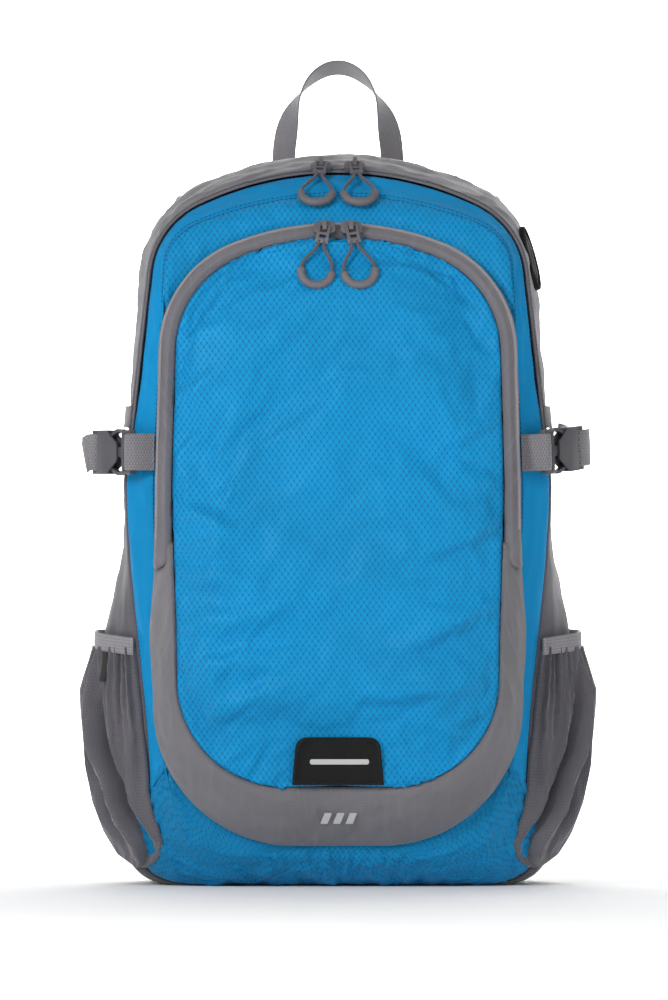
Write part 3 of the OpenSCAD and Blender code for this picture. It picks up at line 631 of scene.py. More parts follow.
def smooth_path(points, step=2.5):
    """A rounded path through points, sampled at even steps"""
    p = np.asarray(points, float)
    ends = np.vstack([2 * p[:1] - p[1:2], p, 2 * p[-1:] - p[-2:-1]])
    out = []
    for k in range(len(p) - 1):
        a, b, c, d = ends[k:k + 4]
        n = max(2, int(np.linalg.norm(c - b) / step) + 1)
        t = np.linspace(0, 1, n, endpoint=False)[:, None]
        out.append(0.5 * (2 * b + (c - a) * t + (2 * a - 5 * b + 4 * c - d) * t**2
                          + (3 * b - a - 3 * c + d) * t**3))
    return np.vstack(out + [p[-1:]])


def swept(name, points, across, section, finish, scale=None):
    """A closed section carried along a path: section x lies along across, and section y out of it"""
    p = np.asarray(points, float)
    run = unit(np.gradient(p, axis=0))
    side = np.broadcast_to(np.asarray(across, float), p.shape)
    side = unit(side - run * np.sum(side * run, -1, keepdims=True))
    out = np.cross(run, side)
    scale = np.ones((len(p), 2)) if scale is None else np.asarray(scale, float)
    ring = np.asarray(section, float)
    grid = (p[:, None] + side[:, None] * (ring[None, :, :1] * scale[:, None, :1])
            + out[:, None] * (ring[None, :, 1:2] * scale[:, None, 1:]))
    n, m = grid.shape[:2]
    faces = quads(n, m, True)
    length = arcs(p[:, None], 0)[:, 0]
    flat = np.stack([np.broadcast_to(ring[:, 0], (n, m)), np.broadcast_to(length[:, None], (n, m))], -1)
    faces = faces.tolist() + [list(range(m)), list(range((n - 1) * m, n * m))[::-1]]
    turn = ring[:, 0] @ np.roll(ring[:, 1], -1) - ring[:, 1] @ np.roll(ring[:, 0], -1)
    if turn > 0:
        faces = [f[::-1] for f in faces]
    return stitched(name, grid.reshape(-1, 3), faces, flat.reshape(-1, 2), finish)


def strap_section(half, t=WEB_T, n=24):
    """A flat strap's section, with its rounded edges"""
    a = np.linspace(0, 2 * np.pi, n, endpoint=False)
    c, s = np.cos(a), np.sin(a)
    return np.stack([half * np.sign(c) * np.abs(c) ** 0.45, t / 2 * np.sign(s) * np.abs(s) ** 0.5], -1)


def round_section(r, n=10):
    a = np.linspace(0, 2 * np.pi, n, endpoint=False)
    return np.stack([r * np.cos(a), r * np.sin(a)], -1)


def strap(name, points, across, half=WEB_W / 2, t=WEB_T, finish="grey_webbing", step=2.5):
    """A length of webbing along points; across may be one direction or one for each point"""
    p = smooth_path(points, step)
    side = np.asarray(across, float)
    if side.ndim > 1:
        near = [np.argmin(np.linalg.norm(p - q, axis=1)) for q in np.asarray(points, float)]
        side = np.stack([np.interp(np.arange(len(p)), near, side[:, k]) for k in range(3)], -1)
    return swept(name, p, side, strap_section(half, t), finish)


def cord_tube(name, points, r, finish, across=(0, 1, 0), n=10, step=1.2):
    p = smooth_path(points, step)
    obj = swept(name, p, across, round_section(r, n), finish)
    uv = obj.data.uv_layers[0].data
    length = arcs(p[:, None], 0)[:, 0]
    for poly in obj.data.polygons:
        for loop in poly.loop_indices:
            v = obj.data.loops[loop].vertex_index
            uv[loop].uv = ((v % n) / n, length[v // n] * MM)
    return obj


def softened(name, node, finish, radius=0.4, segments=2):
    """A moulded part with its edges rounded, from the solid of a node"""
    mesh = NODES[node].data.copy()
    work = bmesh.new()
    work.from_mesh(mesh)
    bmesh.ops.remove_doubles(work, verts=work.verts, dist=1e-5)
    bmesh.ops.dissolve_limit(work, angle_limit=math.radians(2), verts=work.verts, edges=work.edges)
    work.to_mesh(mesh)
    work.free()
    mesh.materials.clear()
    mesh.materials.append(CLOTH[finish])
    mesh.name = name
    obj = bpy.data.objects.new(name, mesh)
    bpy.context.collection.objects.link(obj)
    obj["finish"] = finish
    round_over = obj.modifiers.new("Rounded edges", "BEVEL")
    round_over.width, round_over.segments = radius * MM, segments
    round_over.limit_method, round_over.angle_limit = "ANGLE", math.radians(35)
    round_over.use_clamp_overlap = True
    fixed(obj)
    obj.data.polygons.foreach_set("use_smooth", np.ones(len(obj.data.polygons), bool))
    obj.data.set_sharp_from_angle(angle=math.radians(38))
    return obj


def hardware(body, name, node, finish, radius, segments=2):
    """A moulded part on its body, in place of its own node"""
    on(body, softened(name, node, finish, radius, segments), instead=node)


def settle(obj, pinned, growth=0.015, puff=0.5, reach=7.0, frames=20, bend=0.4):
    """Lets a panel that is held at its seams wrinkle: cloth a little larger than its place, eased outwards"""
    group = obj.vertex_groups.new(name="Sewn down")
    for index, weight in enumerate(pinned.ravel()):
        if weight > 0:
            group.add([index], float(weight), "REPLACE")
    before = np.array([v.co for v in obj.data.vertices])
    cloth = obj.modifiers.new("Settling", "CLOTH")
    how = cloth.settings
    how.quality, how.mass = 6, 0.15
    how.tension_stiffness = how.compression_stiffness = how.shear_stiffness = 20
    how.bending_stiffness, how.vertex_group_mass = bend, "Sewn down"
    how.shrink_min = -growth
    how.use_pressure, how.uniform_pressure_force = True, puff
    how.effector_weights.gravity = 0
    how.tension_damping = how.compression_damping = 12
    cloth.collision_settings.use_self_collision = False
    scene = bpy.context.scene
    scene.frame_start, scene.frame_end = 1, frames
    cloth.point_cache.frame_start, cloth.point_cache.frame_end = 1, frames
    for frame_number in range(1, frames + 1):
        scene.frame_set(frame_number)
    done = obj.evaluated_get(bpy.context.evaluated_depsgraph_get())
    after = np.array([v.co for v in done.data.vertices])
    move = after - before
    length = np.linalg.norm(move, axis=1, keepdims=True)
    move *= np.minimum(1, reach * MM / np.maximum(length, 1e-9))
    obj.modifiers.remove(cloth)
    obj.data.vertices.foreach_set("co", (before + move).astype(np.float32).ravel())
    obj.data.update()
    scene.frame_set(1)
    obj.vertex_groups.clear()
    return obj


def seam_line(grid, edge, away, lift=0.25, inside=HEART):
    """A line on a panel at a distance from one edge, and which way is out: where a row of stitches lies"""
    axis = 0 if edge in ("first", "last") else 1
    g = grid if axis == 0 else np.swapaxes(grid, 0, 1)
    n = normals(grid, inside) if axis == 0 else np.swapaxes(normals(grid, inside), 0, 1)
    if edge in ("last", "end"):
        g, n = g[::-1], n[::-1]
    length = arcs(g, 0)
    points, out = np.empty(g.shape[1:]), np.empty(g.shape[1:])
    for j in range(g.shape[1]):
        for k in range(3):
            points[j, k] = np.interp(away, length[:, j], g[:, j, k])
            out[j, k] = np.interp(away, length[:, j], n[:, j, k])
    return points + out * lift, out


def stitch(kind, grid, inside=HEART, **edges):
    """Rows of stitches along the named edges of a panel, each at its distance from the edge"""
    for edge, away in edges.items():
        run_along(kind, seam_line(grid, edge, away, inside=inside))


def runner_tree():
    """Geometry Nodes: small rounded shapes set at even steps along every run of edges"""
    tree = bpy.data.node_groups.new("Evenly along a seam", "GeometryNodeTree")
    face = tree.interface
    face.new_socket("Runs", in_out="INPUT", socket_type="NodeSocketGeometry")
    for label in ("Pitch", "Length", "Width", "Height"):
        face.new_socket(label, in_out="INPUT", socket_type="NodeSocketFloat")
    face.new_socket("Finish", in_out="INPUT", socket_type="NodeSocketMaterial")
    face.new_socket("Pieces", in_out="OUTPUT", socket_type="NodeSocketGeometry")

    def add(kind, inputs=None, **settings):
        made = tree.nodes.new(kind)
        for key, value in settings.items():
            setattr(made, key, value)
        for key, value in (inputs or {}).items():
            if isinstance(value, bpy.types.NodeSocket):
                tree.links.new(value, made.inputs[key])
            else:
                made.inputs[key].default_value = value
        return made.outputs

    given = add("NodeGroupInput")
    line = add("GeometryNodeMeshToCurve", {"Mesh": given["Runs"]})["Curve"]
    even = add("GeometryNodeResampleCurve", {"Curve": line, "Length": given["Pitch"]}, mode="LENGTH")
    bead = add("GeometryNodeMeshUVSphere", {"Segments": 6, "Rings": 5, "Radius": 0.5})
    size = add("ShaderNodeCombineXYZ", {"X": given["Length"], "Y": given["Width"], "Z": given["Height"]})
    up = add("GeometryNodeInputNamedAttribute", {"Name": "up"}, data_type="FLOAT_VECTOR")
    turn = add("FunctionNodeAxesToRotation",
               {"Primary Axis": add("GeometryNodeInputTangent")["Tangent"],
                "Secondary Axis": up["Attribute"]},
               primary_axis="X", secondary_axis="Z")
    placed = add("GeometryNodeInstanceOnPoints",
                 {"Points": even["Curve"], "Instance": bead["Mesh"], "Rotation": turn["Rotation"],
                  "Scale": size["Vector"]})
    real = add("GeometryNodeRealizeInstances", {"Geometry": placed["Instances"]})
    soft = add("GeometryNodeSetShadeSmooth", {"Geometry": real["Geometry"]})
    done = add("GeometryNodeSetMaterial", {"Geometry": soft["Geometry"], "Material": given["Finish"]})
    add("NodeGroupOutput", {"Pieces": done["Geometry"]})
    return tree


RUNNER = runner_tree()
RUNS = {}


def run_along(kind, line):
    """Keeps a line of points and outward directions for one kind of stitch or tooth"""
    RUNS.setdefault(kind, []).append(line)


def set_runs(name, kind, body, finish, pitch, length, width, height):
    lines = RUNS.get(kind)
    points, ups, edges = [], [], []
    for p, out in lines:
        start = len(points)
        points += (p * MM).tolist()
        ups += unit(out).tolist()
        edges += [(start + i, start + i + 1) for i in range(len(p) - 1)]
    mesh = bpy.data.meshes.new(name)
    mesh.from_pydata(points, edges, [])
    mesh.attributes.new("up", "FLOAT_VECTOR", "POINT").data.foreach_set(
        "vector", np.array(ups, np.float32).ravel())
    obj = bpy.data.objects.new(name, mesh)
    bpy.context.collection.objects.link(obj)
    made = obj.modifiers.new("Evenly along a seam", "NODES")
    made.node_group = RUNNER
    sockets = {s.name: s.identifier for s in RUNNER.interface.items_tree if s.in_out == "INPUT"}
    for label, value in (("Pitch", pitch), ("Length", length), ("Width", width), ("Height", height)):
        made[sockets[label]] = value * MM
    made[sockets["Finish"]] = CLOTH[finish]
    fixed(obj)
    obj["finish"] = finish
    return on(body, obj)


# ---------------------------------------------------------------- Camera, lights and floor


SENSOR_MM, LENS_MM = 36, 422
CAMERA_AWAY = 8.0
CAMERA_AIM = (-0.0027, 0.0, 0.2625)


def studio():
    scene = bpy.context.scene
    scene.view_settings.view_transform = "Standard"
    view = bpy.data.cameras.new("Front view")
    view.sensor_width, view.lens = SENSOR_MM, LENS_MM
    camera = bpy.data.objects.new("Front view", view)
    camera.location = Vector(CAMERA_AIM) - Vector((0, CAMERA_AWAY, 0))
    camera.rotation_euler = (math.pi / 2, 0, 0)
    bpy.context.collection.objects.link(camera)
    scene.camera = camera

    def soft_box(name, place, size, power, aim=(0, 0, 0.26), spread=180):
        light = bpy.data.lights.new(name, "AREA")
        light.shape, light.size, light.size_y, light.energy = "RECTANGLE", size[0], size[1], power
        light.spread = math.radians(spread)
        lamp = bpy.data.objects.new(name, light)
        lamp.location = place
        way = Vector(aim) - Vector(place)
        lamp.rotation_euler = way.to_track_quat("-Z", "Y").to_euler()
        bpy.context.collection.objects.link(lamp)

    soft_box("Key softbox", (-1.35, -1.9, 1.15), (0.6, 0.8), 23)
    soft_box("Fill softbox", (1.7, -1.9, 0.5), (0.9, 1.2), 6)
    soft_box("Rear softbox", (0.3, 1.7, 1.3), (1.8, 1.0), 14)
    soft_box("Backdrop light", (0.0, 1.3, 2.6), (3.0, 1.0), 150, (0, 2.6, 0.8), 120)
    soft_box("Floor wash", (0.0, -1.5, 1.3), (2.6, 0.7), 8, (0, -1.5, 0))
    world = bpy.data.worlds.new("Pale studio")
    world.use_nodes = True
    world.node_tree.nodes["Background"].inputs["Color"].default_value = (1.0, 1.0, 1.0, 1.0)
    world.node_tree.nodes["Background"].inputs["Strength"].default_value = 0.38
    scene.world = world

    n = 40
    turn = np.linspace(0, math.pi / 2, 14)
    path = np.concatenate([[(-2.6, 0.0)], np.stack([1.6 + 1.2 * np.sin(turn), 1.2 - 1.2 * np.cos(turn)], -1),
                           [(2.8, 3.6)]])
    points = [(x, y, z) for y, z in path for x in np.linspace(-3.2, 3.2, n)]
    floor = bpy.data.meshes.new("Studio floor")
    floor.from_pydata([(x, y, z) for x, y, z in points], [], quads(len(path), n).tolist())
    floor.polygons.foreach_set("use_smooth", np.ones(len(floor.polygons), bool))
    pale = Finish("Pale studio paper", Roughness=0.9, Specular_IOR_Level=0.1)
    tone = pale.noise(2, 2)
    paper = pale.feed(Base_Color=pale.mixed(tone, (0.95, 0.95, 0.95, 1), (0.97, 0.97, 0.97, 1)))
    nodes, link = paper.node_tree.nodes, paper.node_tree.links.new
    lit = next(n for n in nodes if n.type == "BSDF_PRINCIPLED")
    shown = next(n for n in nodes if n.type == "OUTPUT_MATERIAL")
    side, clear, pick = (nodes.new(kind) for kind in ("ShaderNodeNewGeometry", "ShaderNodeBsdfTransparent",
                                                      "ShaderNodeMixShader"))
    link(side.outputs["Backfacing"], pick.inputs[0])
    link(lit.outputs[0], pick.inputs[1])
    link(clear.outputs[0], pick.inputs[2])
    link(pick.outputs[0], shown.inputs[0])
    floor.materials.append(paper)
    if floor.polygons[0].normal.z < 0:
        floor.flip_normals()
    stand = bpy.data.objects.new("Studio floor", floor)
    bpy.context.collection.objects.link(stand)


# ---------------------------------------------------------------- Main compartment


def over_crest(low, n, high=6.0):
    """u and side for a run over the crest from the right to the left"""
    u = low + (high - low) * np.linspace(0, 1, n)
    return np.concatenate([u, u[-2::-1]]), np.concatenate([np.ones(n), -np.ones(n - 1)])


def both_halves(u):
    """u and side for a run that starts at the middle, from the left end to the right"""
    u = np.concatenate([-u[::-1], u[1:]])
    return u, np.where(u < 0, -1.0, 1.0)


def skin_grid(v, u, side=1.0):
    grid = skin(np.asarray(v)[:, None], np.asarray(u)[None, :])
    grid[..., 0] *= side
    return grid


def body_cloth():
    """The blue gusset, the grey rear, the sides and the base"""
    u, side = over_crest(2.0, 82)
    reach = mix(1.14, 0.9, ease((u - 3.0) / 0.5))
    gusset = skin(reach[None, :] * eased(20)[:, None], u[None, :])
    gusset[..., 0] *= side
    gusset = creased(gusset, 3.4, 34, 3.1, (1.0, 0.5), fade=10)
    gusset = creased(gusset, 1.1, 13, 5.7, (1.0, 0.6), fade=7)
    gusset = seamed(gusset, "first last", 1.9, 1.5)
    sewn("blue_gusset", gusset, "dobby_blue", instead="front_gusset")
    stitch("dark_pack", gusset, first=2.6, last=2.6)

    u, side = over_crest(3.18, 64)
    rear = skin_grid(1.12 + 2.88 * eased(40), u, side)
    rear = creased(rear, 2.6, 42, 8.2, (1.0, 0.6), fade=14)
    rear = seamed(rear, "first last start end", 1.5, 1.6)
    sewn("grey_rear_gusset", rear, "grey_fabric", instead="rear_gusset")
    stitch("grey_pack", rear, first=2.4, last=4.0)
    for name, sign in SIDES.items():
        flank = skin_grid(1.08 + 2.92 * eased(34), 1.98 + 1.24 * eased(44), sign)
        flank = creased(flank, 3.0, 36, 11.4 + sign, (1.0, 0.7), 0.5, fade=12)
        flank = seamed(flank, "first last end", 1.8, 1.8)
        sewn(f"side_stretch_panel_{name}", flank, "grey_stretch", instead=f"side_panel_{name}")
        stitch("grey_pack", flank, end=3.0)

    u, side = both_halves(2.04 * eased(64))
    reach = (1.78 + 0.42 * ease((np.abs(u) - 0.9) / 0.5))[None, :]
    under = skin(reach * np.linspace(0.02, 1, 34)[:, None], np.abs(u)[None, :])
    under[..., 0] *= side
    share = np.linspace(0, 0.97, 14)[:, None, None]
    inner = POCKET_OUT.inset(2.0).line(u)
    outer = SEAM.line(u)
    above = mix(inner[None], outer[None], share)
    above = np.stack([above[..., 0] * side, face_y(above[..., 1]), above[..., 1]], -1)
    front = np.concatenate([above, under])
    for _ in range(10):
        front[1:-1] = 0.5 * front[1:-1] + 0.25 * (front[:-2] + front[2:])
    front = creased(front, 3.4, 26, 21.5, (0.45, 1.2), fade=9)
    front = creased(front, 1.2, 11, 4.2, (0.6, 1.0), fade=6)
    front = seamed(front, "last start end", 1.7, 1.5)
    front[..., 2] = np.maximum(front[..., 2], 0)
    bottom = skin(reach - 0.02 + (4.02 - reach) * eased(36)[:, None], np.abs(u)[None, :])
    bottom[..., 0] *= side
    bottom = seamed(bottom, "first last start end", 1.5, 1.5)
    bottom[..., 2] = np.maximum(bottom[..., 2], 0)
    # The lower front and its turn under the bag take the darkened blue: painted shade near the bottom
    sewn("blue_base_front", front, "base_blue", instead="base_panel")
    sewn("dark_base", bottom, "base_dark")
    stitch("dark_pack", front, start=2.4, end=2.4)


# The pocket face's soft folds: where each starts and ends, x and z, how wide it is and how high
POCKET_FOLDS = [
    ((-112, 262), (-58, 236), 6, 2.2), ((-112, 240), (-66, 226), 5, 1.8), ((-110, 216), (-46, 205), 7, 2.4),
    ((-108, 176), (-22, 196), 8, 3.4), ((-102, 150), (-14, 162), 7, 3.0), ((-90, 118), (-10, 150), 7, 3.0),
    ((112, 250), (54, 222), 6, 2.2), ((108, 196), (40, 160), 8, 3.2), ((98, 140), (20, 128), 7, 2.6),
    ((-112, 330), (-70, 352), 6, 1.8), ((-106, 372), (-64, 384), 6, 1.4), ((112, 320), (72, 300), 6, 1.6)]
FOLD_DEPTH = 1.9


def front_cloth():
    """The blue front panel, and the front pocket with its grey welt and lower panel"""
    half = np.concatenate([np.linspace(1.97, 3, 32)[:-1], np.linspace(3, 4, 28)[:-1],
                           np.linspace(4, 5, 30)[:-1], np.linspace(5, 6, 34)])
    u = np.concatenate([half, half[-2::-1]])
    side = np.concatenate([np.ones(len(half)), -np.ones(len(half) - 1)])
    s = eased(14)[:, None]
    outer, inner = SEAM.line(u), POCKET_OUT.inset(1.5).line(u)
    flat = mix(outer[None], inner[None], s[..., None])
    flat[..., 0] *= side
    ring = np.stack([flat[..., 0], face_y(flat[..., 1]) - 3.0 * np.sin(np.pi * s) ** 0.8
                     * ease((flat[..., 1] - 330) / 90), flat[..., 1]], -1)
    aim = np.array([0, 60.0, 250])
    ring = creased(ring, 2.2, 30, 31.2, (0.7, 1.0), 0.6, fade=8, inside=aim)
    ring = seamed(ring, "first", 1.6, 1.5, inside=aim)
    cloth_uv = ring[..., [0, 2]]
    sewn("blue_front_panel", ring, "ripstop_blue", flat=cloth_uv, inside=aim, instead="front_panel")
    stitch("dark_pack", ring, aim, first=2.6)

    # The grey lower panel: a wide band that turns out of the front and rolls over to the pocket's face
    low, side = both_halves(np.linspace(0, 2.69, 120))
    share = eased(22, 0.55)[:, None]
    outer, inner = POCKET_OUT.line(low), POCKET_IN.line(low)
    flat = mix(outer[None], inner[None], share[..., None])
    lift = np.sin(np.pi / 2 * share) ** 0.8 * pocket_rise(flat[..., 1])
    over = 1.1 * ease((np.abs(low) - 2.3) / 0.3)
    band = np.stack([flat[..., 0] * side, face_y(flat[..., 1]) - 0.3 - lift - over, flat[..., 1]], -1)
    band = creased(band, 2.0, 34, 41.0, (1.0, 0.6), 0.3, fade=10, inside=aim)
    band = seamed(band, "first last", 1.7, 1.6, inside=aim)
    band = seamed(band, "start end", 0.7, 1.0, 0.1, inside=aim)
    sewn("grey_lower_panel", band, "grey_fabric", inside=aim, instead="lower_front_panel")
    stitch("grey_pack", band, aim, last=2.4, start=2.4, end=2.4)

    # The zip's grey welt, with a thin piping down its outer edge and the zip's swelling along its middle
    top = np.concatenate([np.linspace(2.6, 4, 64)[:-1], np.linspace(4, 6, 80)])
    top = np.concatenate([-top, top[-2::-1]])
    side = np.where(top < 0, -1.0, 1.0)
    column = np.array([0, 0.01, 0.03, 0.08, 0.16, 0.26, 0.36, 0.46,
                       0.54, 0.62, 0.7, 0.78, 0.86, 0.93, 0.98, 1.0])
    height = np.interp(column, [0, 0.02, 0.1, 0.5, 1], [0, 0.5, 0.86, 1.04, 1])
    outer, inner = POCKET_OUT.line(top), POCKET_IN.line(top)
    flat = mix(outer[None], inner[None], column[:, None, None])
    swell = 1.3 * np.exp(-(((column - 0.6) / 0.13) ** 2)) - 0.9 * np.exp(-(((column - 0.36) / 0.05) ** 2))
    tucked = ease((2.80 - np.abs(top)) / 0.1)
    welt = np.stack([flat[..., 0] * side, face_y(flat[..., 1]) - 0.3 - height[:, None]
                     * pocket_rise(flat[..., 1]) - swell[:, None] * (1 - tucked) + 2.4 * tucked,
                     flat[..., 1]], -1)
    welt = creased(welt, 0.5, 16, 51.0, (2.0, 0.5), fade=3, inside=aim)
    welt = seamed(welt, "last start end", 1.5, 1.2, 0.15, inside=aim)
    sewn("pocket_zip_welt", welt, "grey_fabric", inside=aim, instead=("pocket_zip_welt", "pocket_zip_coil"))
    stitch("grey_pack", welt, aim, last=2.0)
    bead = (welt[4] + normals(welt, aim)[4] * 0.4)[6:-6]
    on("pack", cord_tube("pocket_zip_piping", bead[::3], 1.0, "grey_light"))

    # The pocket's face: one crowned ripstop panel that wrinkles between its seams
    t = np.linspace(0, 1, 132)
    t = mix(t, 0.5 - 0.5 * np.cos(np.pi * t), 0.94)
    edge = POCKET_IN.inset(-0.4)
    z = mix(edge.foot + 0.05, edge.top - 0.05, t)[:, None]
    sides = np.linspace(-1, 1, 85)[None, :]
    x = edge.half_at(z[:, 0])[:, None] * np.sin(sides * np.pi / 2 * 0.72) / math.sin(np.pi / 2 * 0.72)
    level = (z - edge.foot) / (edge.top - edge.foot)
    crown = POCKET_CROWN * (1 - np.abs(sides) ** 2.4) * np.maximum(0, np.sin(np.pi * level)) ** 0.6
    face = np.stack([x, face_y(z) - pocket_rise(z) - 0.3 - crown * 0.9, z + 0 * x], -1)
    flat = face[..., [0, 2]].copy()
    folds = sum(fold(flat, *each) for each in POCKET_FOLDS)
    calm = ease(np.maximum((np.abs(x) - 30) / 10, (z - 100) / 12))
    face[..., 1] -= FOLD_DEPTH * folds * calm
    face = creased(face, 2.6, 46, 61.0, (1.5, 0.8), 0.5, fade=16, inside=aim)
    face = creased(face, 0.6, 15, 67.0, (1.4, 0.7), 0.4, fade=12, inside=aim)
    cloth = panel("blue_pocket_face", face, "ripstop_blue", flat, aim, 0)
    away = np.minimum.reduce([from_edge(face, e) for e in ("first", "last", "start", "end")])
    settle(cloth, np.maximum(np.where(away < 3.0, 1.0, 0.0), 1 - calm), 0.04, 0.5, 8.0)
    moved = np.array([v.co for v in cloth.data.vertices]).reshape(face.shape) / MM
    moved = seamed(moved, "first last start end", 1.6, 1.6, 0.3, inside=aim)
    cloth.data.vertices.foreach_set("co", (moved * MM).astype(np.float32).ravel())
    on("pack", fixed(thickened(cloth)), instead="pocket_face")


def main_zip():
    """The covered main zip: a raised tape over the crest, with its teeth in the middle"""
    u, side = over_crest(3.2, 110)
    v = 0.9 + 0.24 * np.linspace(0, 1, 13)
    tape = skin_grid(v, u, side)
    across = np.linspace(-1, 1, 13)
    height = 1.5 - 1.1 * np.abs(across) ** 4 - 0.7 * np.exp(-((across / 0.2) ** 2))
    tape = tape + normals(tape) * height[:, None, None]
    sewn("main_zip_tape", tape, "grey_fabric", thick=0.8, instead="main_zip_tape")
    middle = (tape[6] + normals(tape)[6] * 0.7, normals(tape)[6])
    run_along("teeth", middle)
    for row in (1, 11):
        run_along("grey_pack", (tape[row] + normals(tape)[row] * 0.2, normals(tape)[row]))


# ---------------------------------------------------------------- Small trims


def leaning(at, lean):
    """Carries a flat drawing to a place on the front: its x across, its y up the lean, its z out"""
    c, s = math.cos(math.radians(lean)), math.sin(math.radians(lean))

    def carry(p):
        p = np.asarray(p, float)
        x, y, out = p[..., 0], p[..., 1], p[..., 2]
        return np.stack([at[0] + x, at[1] - out * c - y * s,
                         at[2] + y * c - out * s], -1)

    return carry


def rounded_outline(points, radii, n=7):
    """A closed outline with its corners rounded"""
    p = np.asarray(points, float)
    out = []
    for k, corner in enumerate(p):
        before, after = unit(p[k - 1] - corner), unit(p[(k + 1) % len(p)] - corner)
        half = math.acos(np.clip(before @ after, -1, 1)) / 2
        cut = radii[k] / math.tan(half)
        a, b = corner + before * cut, corner + after * cut
        for t in np.linspace(0, 1, n):
            out.append(a * (1 - t) ** 2 + 2 * t * (1 - t) * corner + b * t**2)
    return np.array(out)


def badge(name, outline, carry, finish, thick, rim=0.0, edge=1.0, dome=0.0):
    """A moulded or printed shape: rounded edge, and a raised rim when asked for"""
    middle = outline.mean(0)
    rows = [(1.0, 0.0), (1.0, thick * 0.6), (1 - 0.25 * edge / 20, thick * 0.9), (1 - edge / 20, thick)]
    if rim:
        rows += [(0.93, thick), (0.91, thick - rim * 0.4), (0.895, thick - rim)]
    rows += [(0.7, thick - rim + dome * 0.4), (0.4, thick - rim + dome * 0.8), (0.03, thick - rim + dome)]
    grid = np.array([[[*(middle + (q - middle) * k), h] for q in outline] for k, h in rows])
    flat = grid[..., :2].reshape(-1, 2)
    n, m = grid.shape[:2]
    faces = quads(n, m, True).tolist() + [list(range((n - 1) * m, n * m))]
    turn = outline[:, 0] @ np.roll(outline[:, 1], -1) - outline[:, 1] @ np.roll(outline[:, 0], -1)
    if turn < 0:
        faces = [f[::-1] for f in faces]
    faces.append(list(range(m))[::-1] if turn > 0 else list(range(m)))
    obj = stitched(name, carry(grid.reshape(-1, 3)), faces, flat, finish)
    obj.data.set_sharp_from_angle(angle=math.radians(50))
    return obj


def front_trims():
    carry = leaning((0, -92.2, 70.4), 9.7)
    shape = rounded_outline([(-31, 0), (31, 0), (28.2, 32.6), (-28.2, 32.6)], [0.8, 0.8, 9, 9])
    on("pack", badge("light_tab", shape, carry, "black_rubber", 2.0, rim=0.7), instead="light_tab")
    ring = np.array([(x * 0.95, 1.4 + y * 0.9, 2.2) for x, y in shape])
    run_along("dark_rubber", (carry(ring), np.tile([0.0, -1.0, 0.17], (len(ring), 1))))
    bar = rounded_outline([(-19, 14.2), (21, 14.2), (21, 17.8), (-19, 17.8)], [1.7] * 4)
    raised = leaning((0, -93.6, 70.2), 9.7)
    film = [badge("reflective_bar", bar, raised, "reflective", 0.6, edge=0.4)]
    print_at = leaning((0, -78.6, 43.9), 35.1)
    for k, x in enumerate((-12, -3.5, 5)):
        shape = rounded_outline([(x, 0), (x + 5, 0), (x + 8, 9), (x + 3, 9)], [0.5] * 4, 4)
        film.append(badge(f"slanted_mark_{k}", shape, print_at, "reflective", 0.5, edge=0.2))
    on("pack", joined("reflective_prints", film), instead="reflective_prints")

    # The headphone port: a rubber lens with a raised rim and two flaps that meet along a slit
    at = wall_at(2.25, 427) + [-2.4, 0, 0]
    yaw, tilt = math.radians(-14), math.radians(-15)

    def port(p):
        p = np.asarray(p, float)
        z, y, x = p[..., 0], p[..., 1], p[..., 2]
        x, z = x * math.cos(tilt) + z * math.sin(tilt), z * math.cos(tilt) - x * math.sin(tilt)
        x, y = x * math.cos(yaw) - y * math.sin(yaw), x * math.sin(yaw) + y * math.cos(yaw)
        return np.stack([at[0] + x, at[1] + y, at[2] + z], -1)

    turn = np.linspace(0, 2 * np.pi, 48, endpoint=False)
    lens = np.stack([22.5 * np.cos(turn), 11 * np.sin(turn) * (1 - 0.25 * np.cos(turn) ** 4)], -1)
    parts = [badge("cable_port", lens[::-1], port, "black_rubber", 3.6, rim=1.4)]
    for sign in (-1, 1):
        flap = rounded_outline([(-17, sign * 0.5), (17, sign * 0.5), (11, sign * 6), (-11, sign * 6)],
                               [1, 1, 4, 4])
        parts.append(badge(f"port_flap_{sign}", flap, port, "black_rubber", 3.0, dome=0.5))
    on("pack", joined("cable_port", parts), instead="cable_port")
    hardware("pack", "zip_end_tab_left", "zip_end_tabs", "grey_webbing", 0.5)


# ---------------------------------------------------------------- Side pockets

HEM_Z = 162.0
HEM_H = 12.0


def pouch(u, z, out):
    """A point of the right pocket: u from its front seam to its rear seam"""
    u, z = np.broadcast_arrays(np.asarray(u, float), np.asarray(z, float))
    front = np.interp(z, [11, 16, 22, 30, 40, 60, 105], [2.05, 1.62, 1.32, 1.08, 0.93, 0.9, 1.08])
    v = mix(front, 3.85, u)
    edge = (138.5 + 37 * np.sin(np.pi / 2 * np.minimum(1, np.maximum(z - 8, 0) / 95)) ** 0.55
            - 7 * ease((z - 120) / 55))
    levels = np.linspace(8, 190, 40)
    shares = np.linspace(0.7, 4, 67)
    table = np.array([[wall_at(a, b) for b in levels] for a in shares])
    fa, fb = (v - 0.7) / 3.3 * 66, (z - 8) / 182 * 39
    ia, ib = np.clip(fa.astype(int), 0, 65), np.clip(fb.astype(int), 0, 38)
    ta, tb = (fa - ia)[..., None], (fb - ib)[..., None]
    wall = (table[ia, ib] * (1 - ta) * (1 - tb) + table[ia + 1, ib] * ta * (1 - tb)
            + table[ia, ib + 1] * (1 - ta) * tb + table[ia + 1, ib + 1] * ta * tb)
    k = (2.6 - 0.7) / 3.3 * 66
    middle = np.array([np.interp(z.ravel(), levels, table[int(k), :, 0])]).reshape(z.shape)
    swell = np.maximum(0, edge - middle - 2)
    x = wall[..., 0] + out + swell * np.sin(np.pi * np.clip(u, 0, 1)) ** 0.7
    return np.stack([x, wall[..., 1], z], -1)


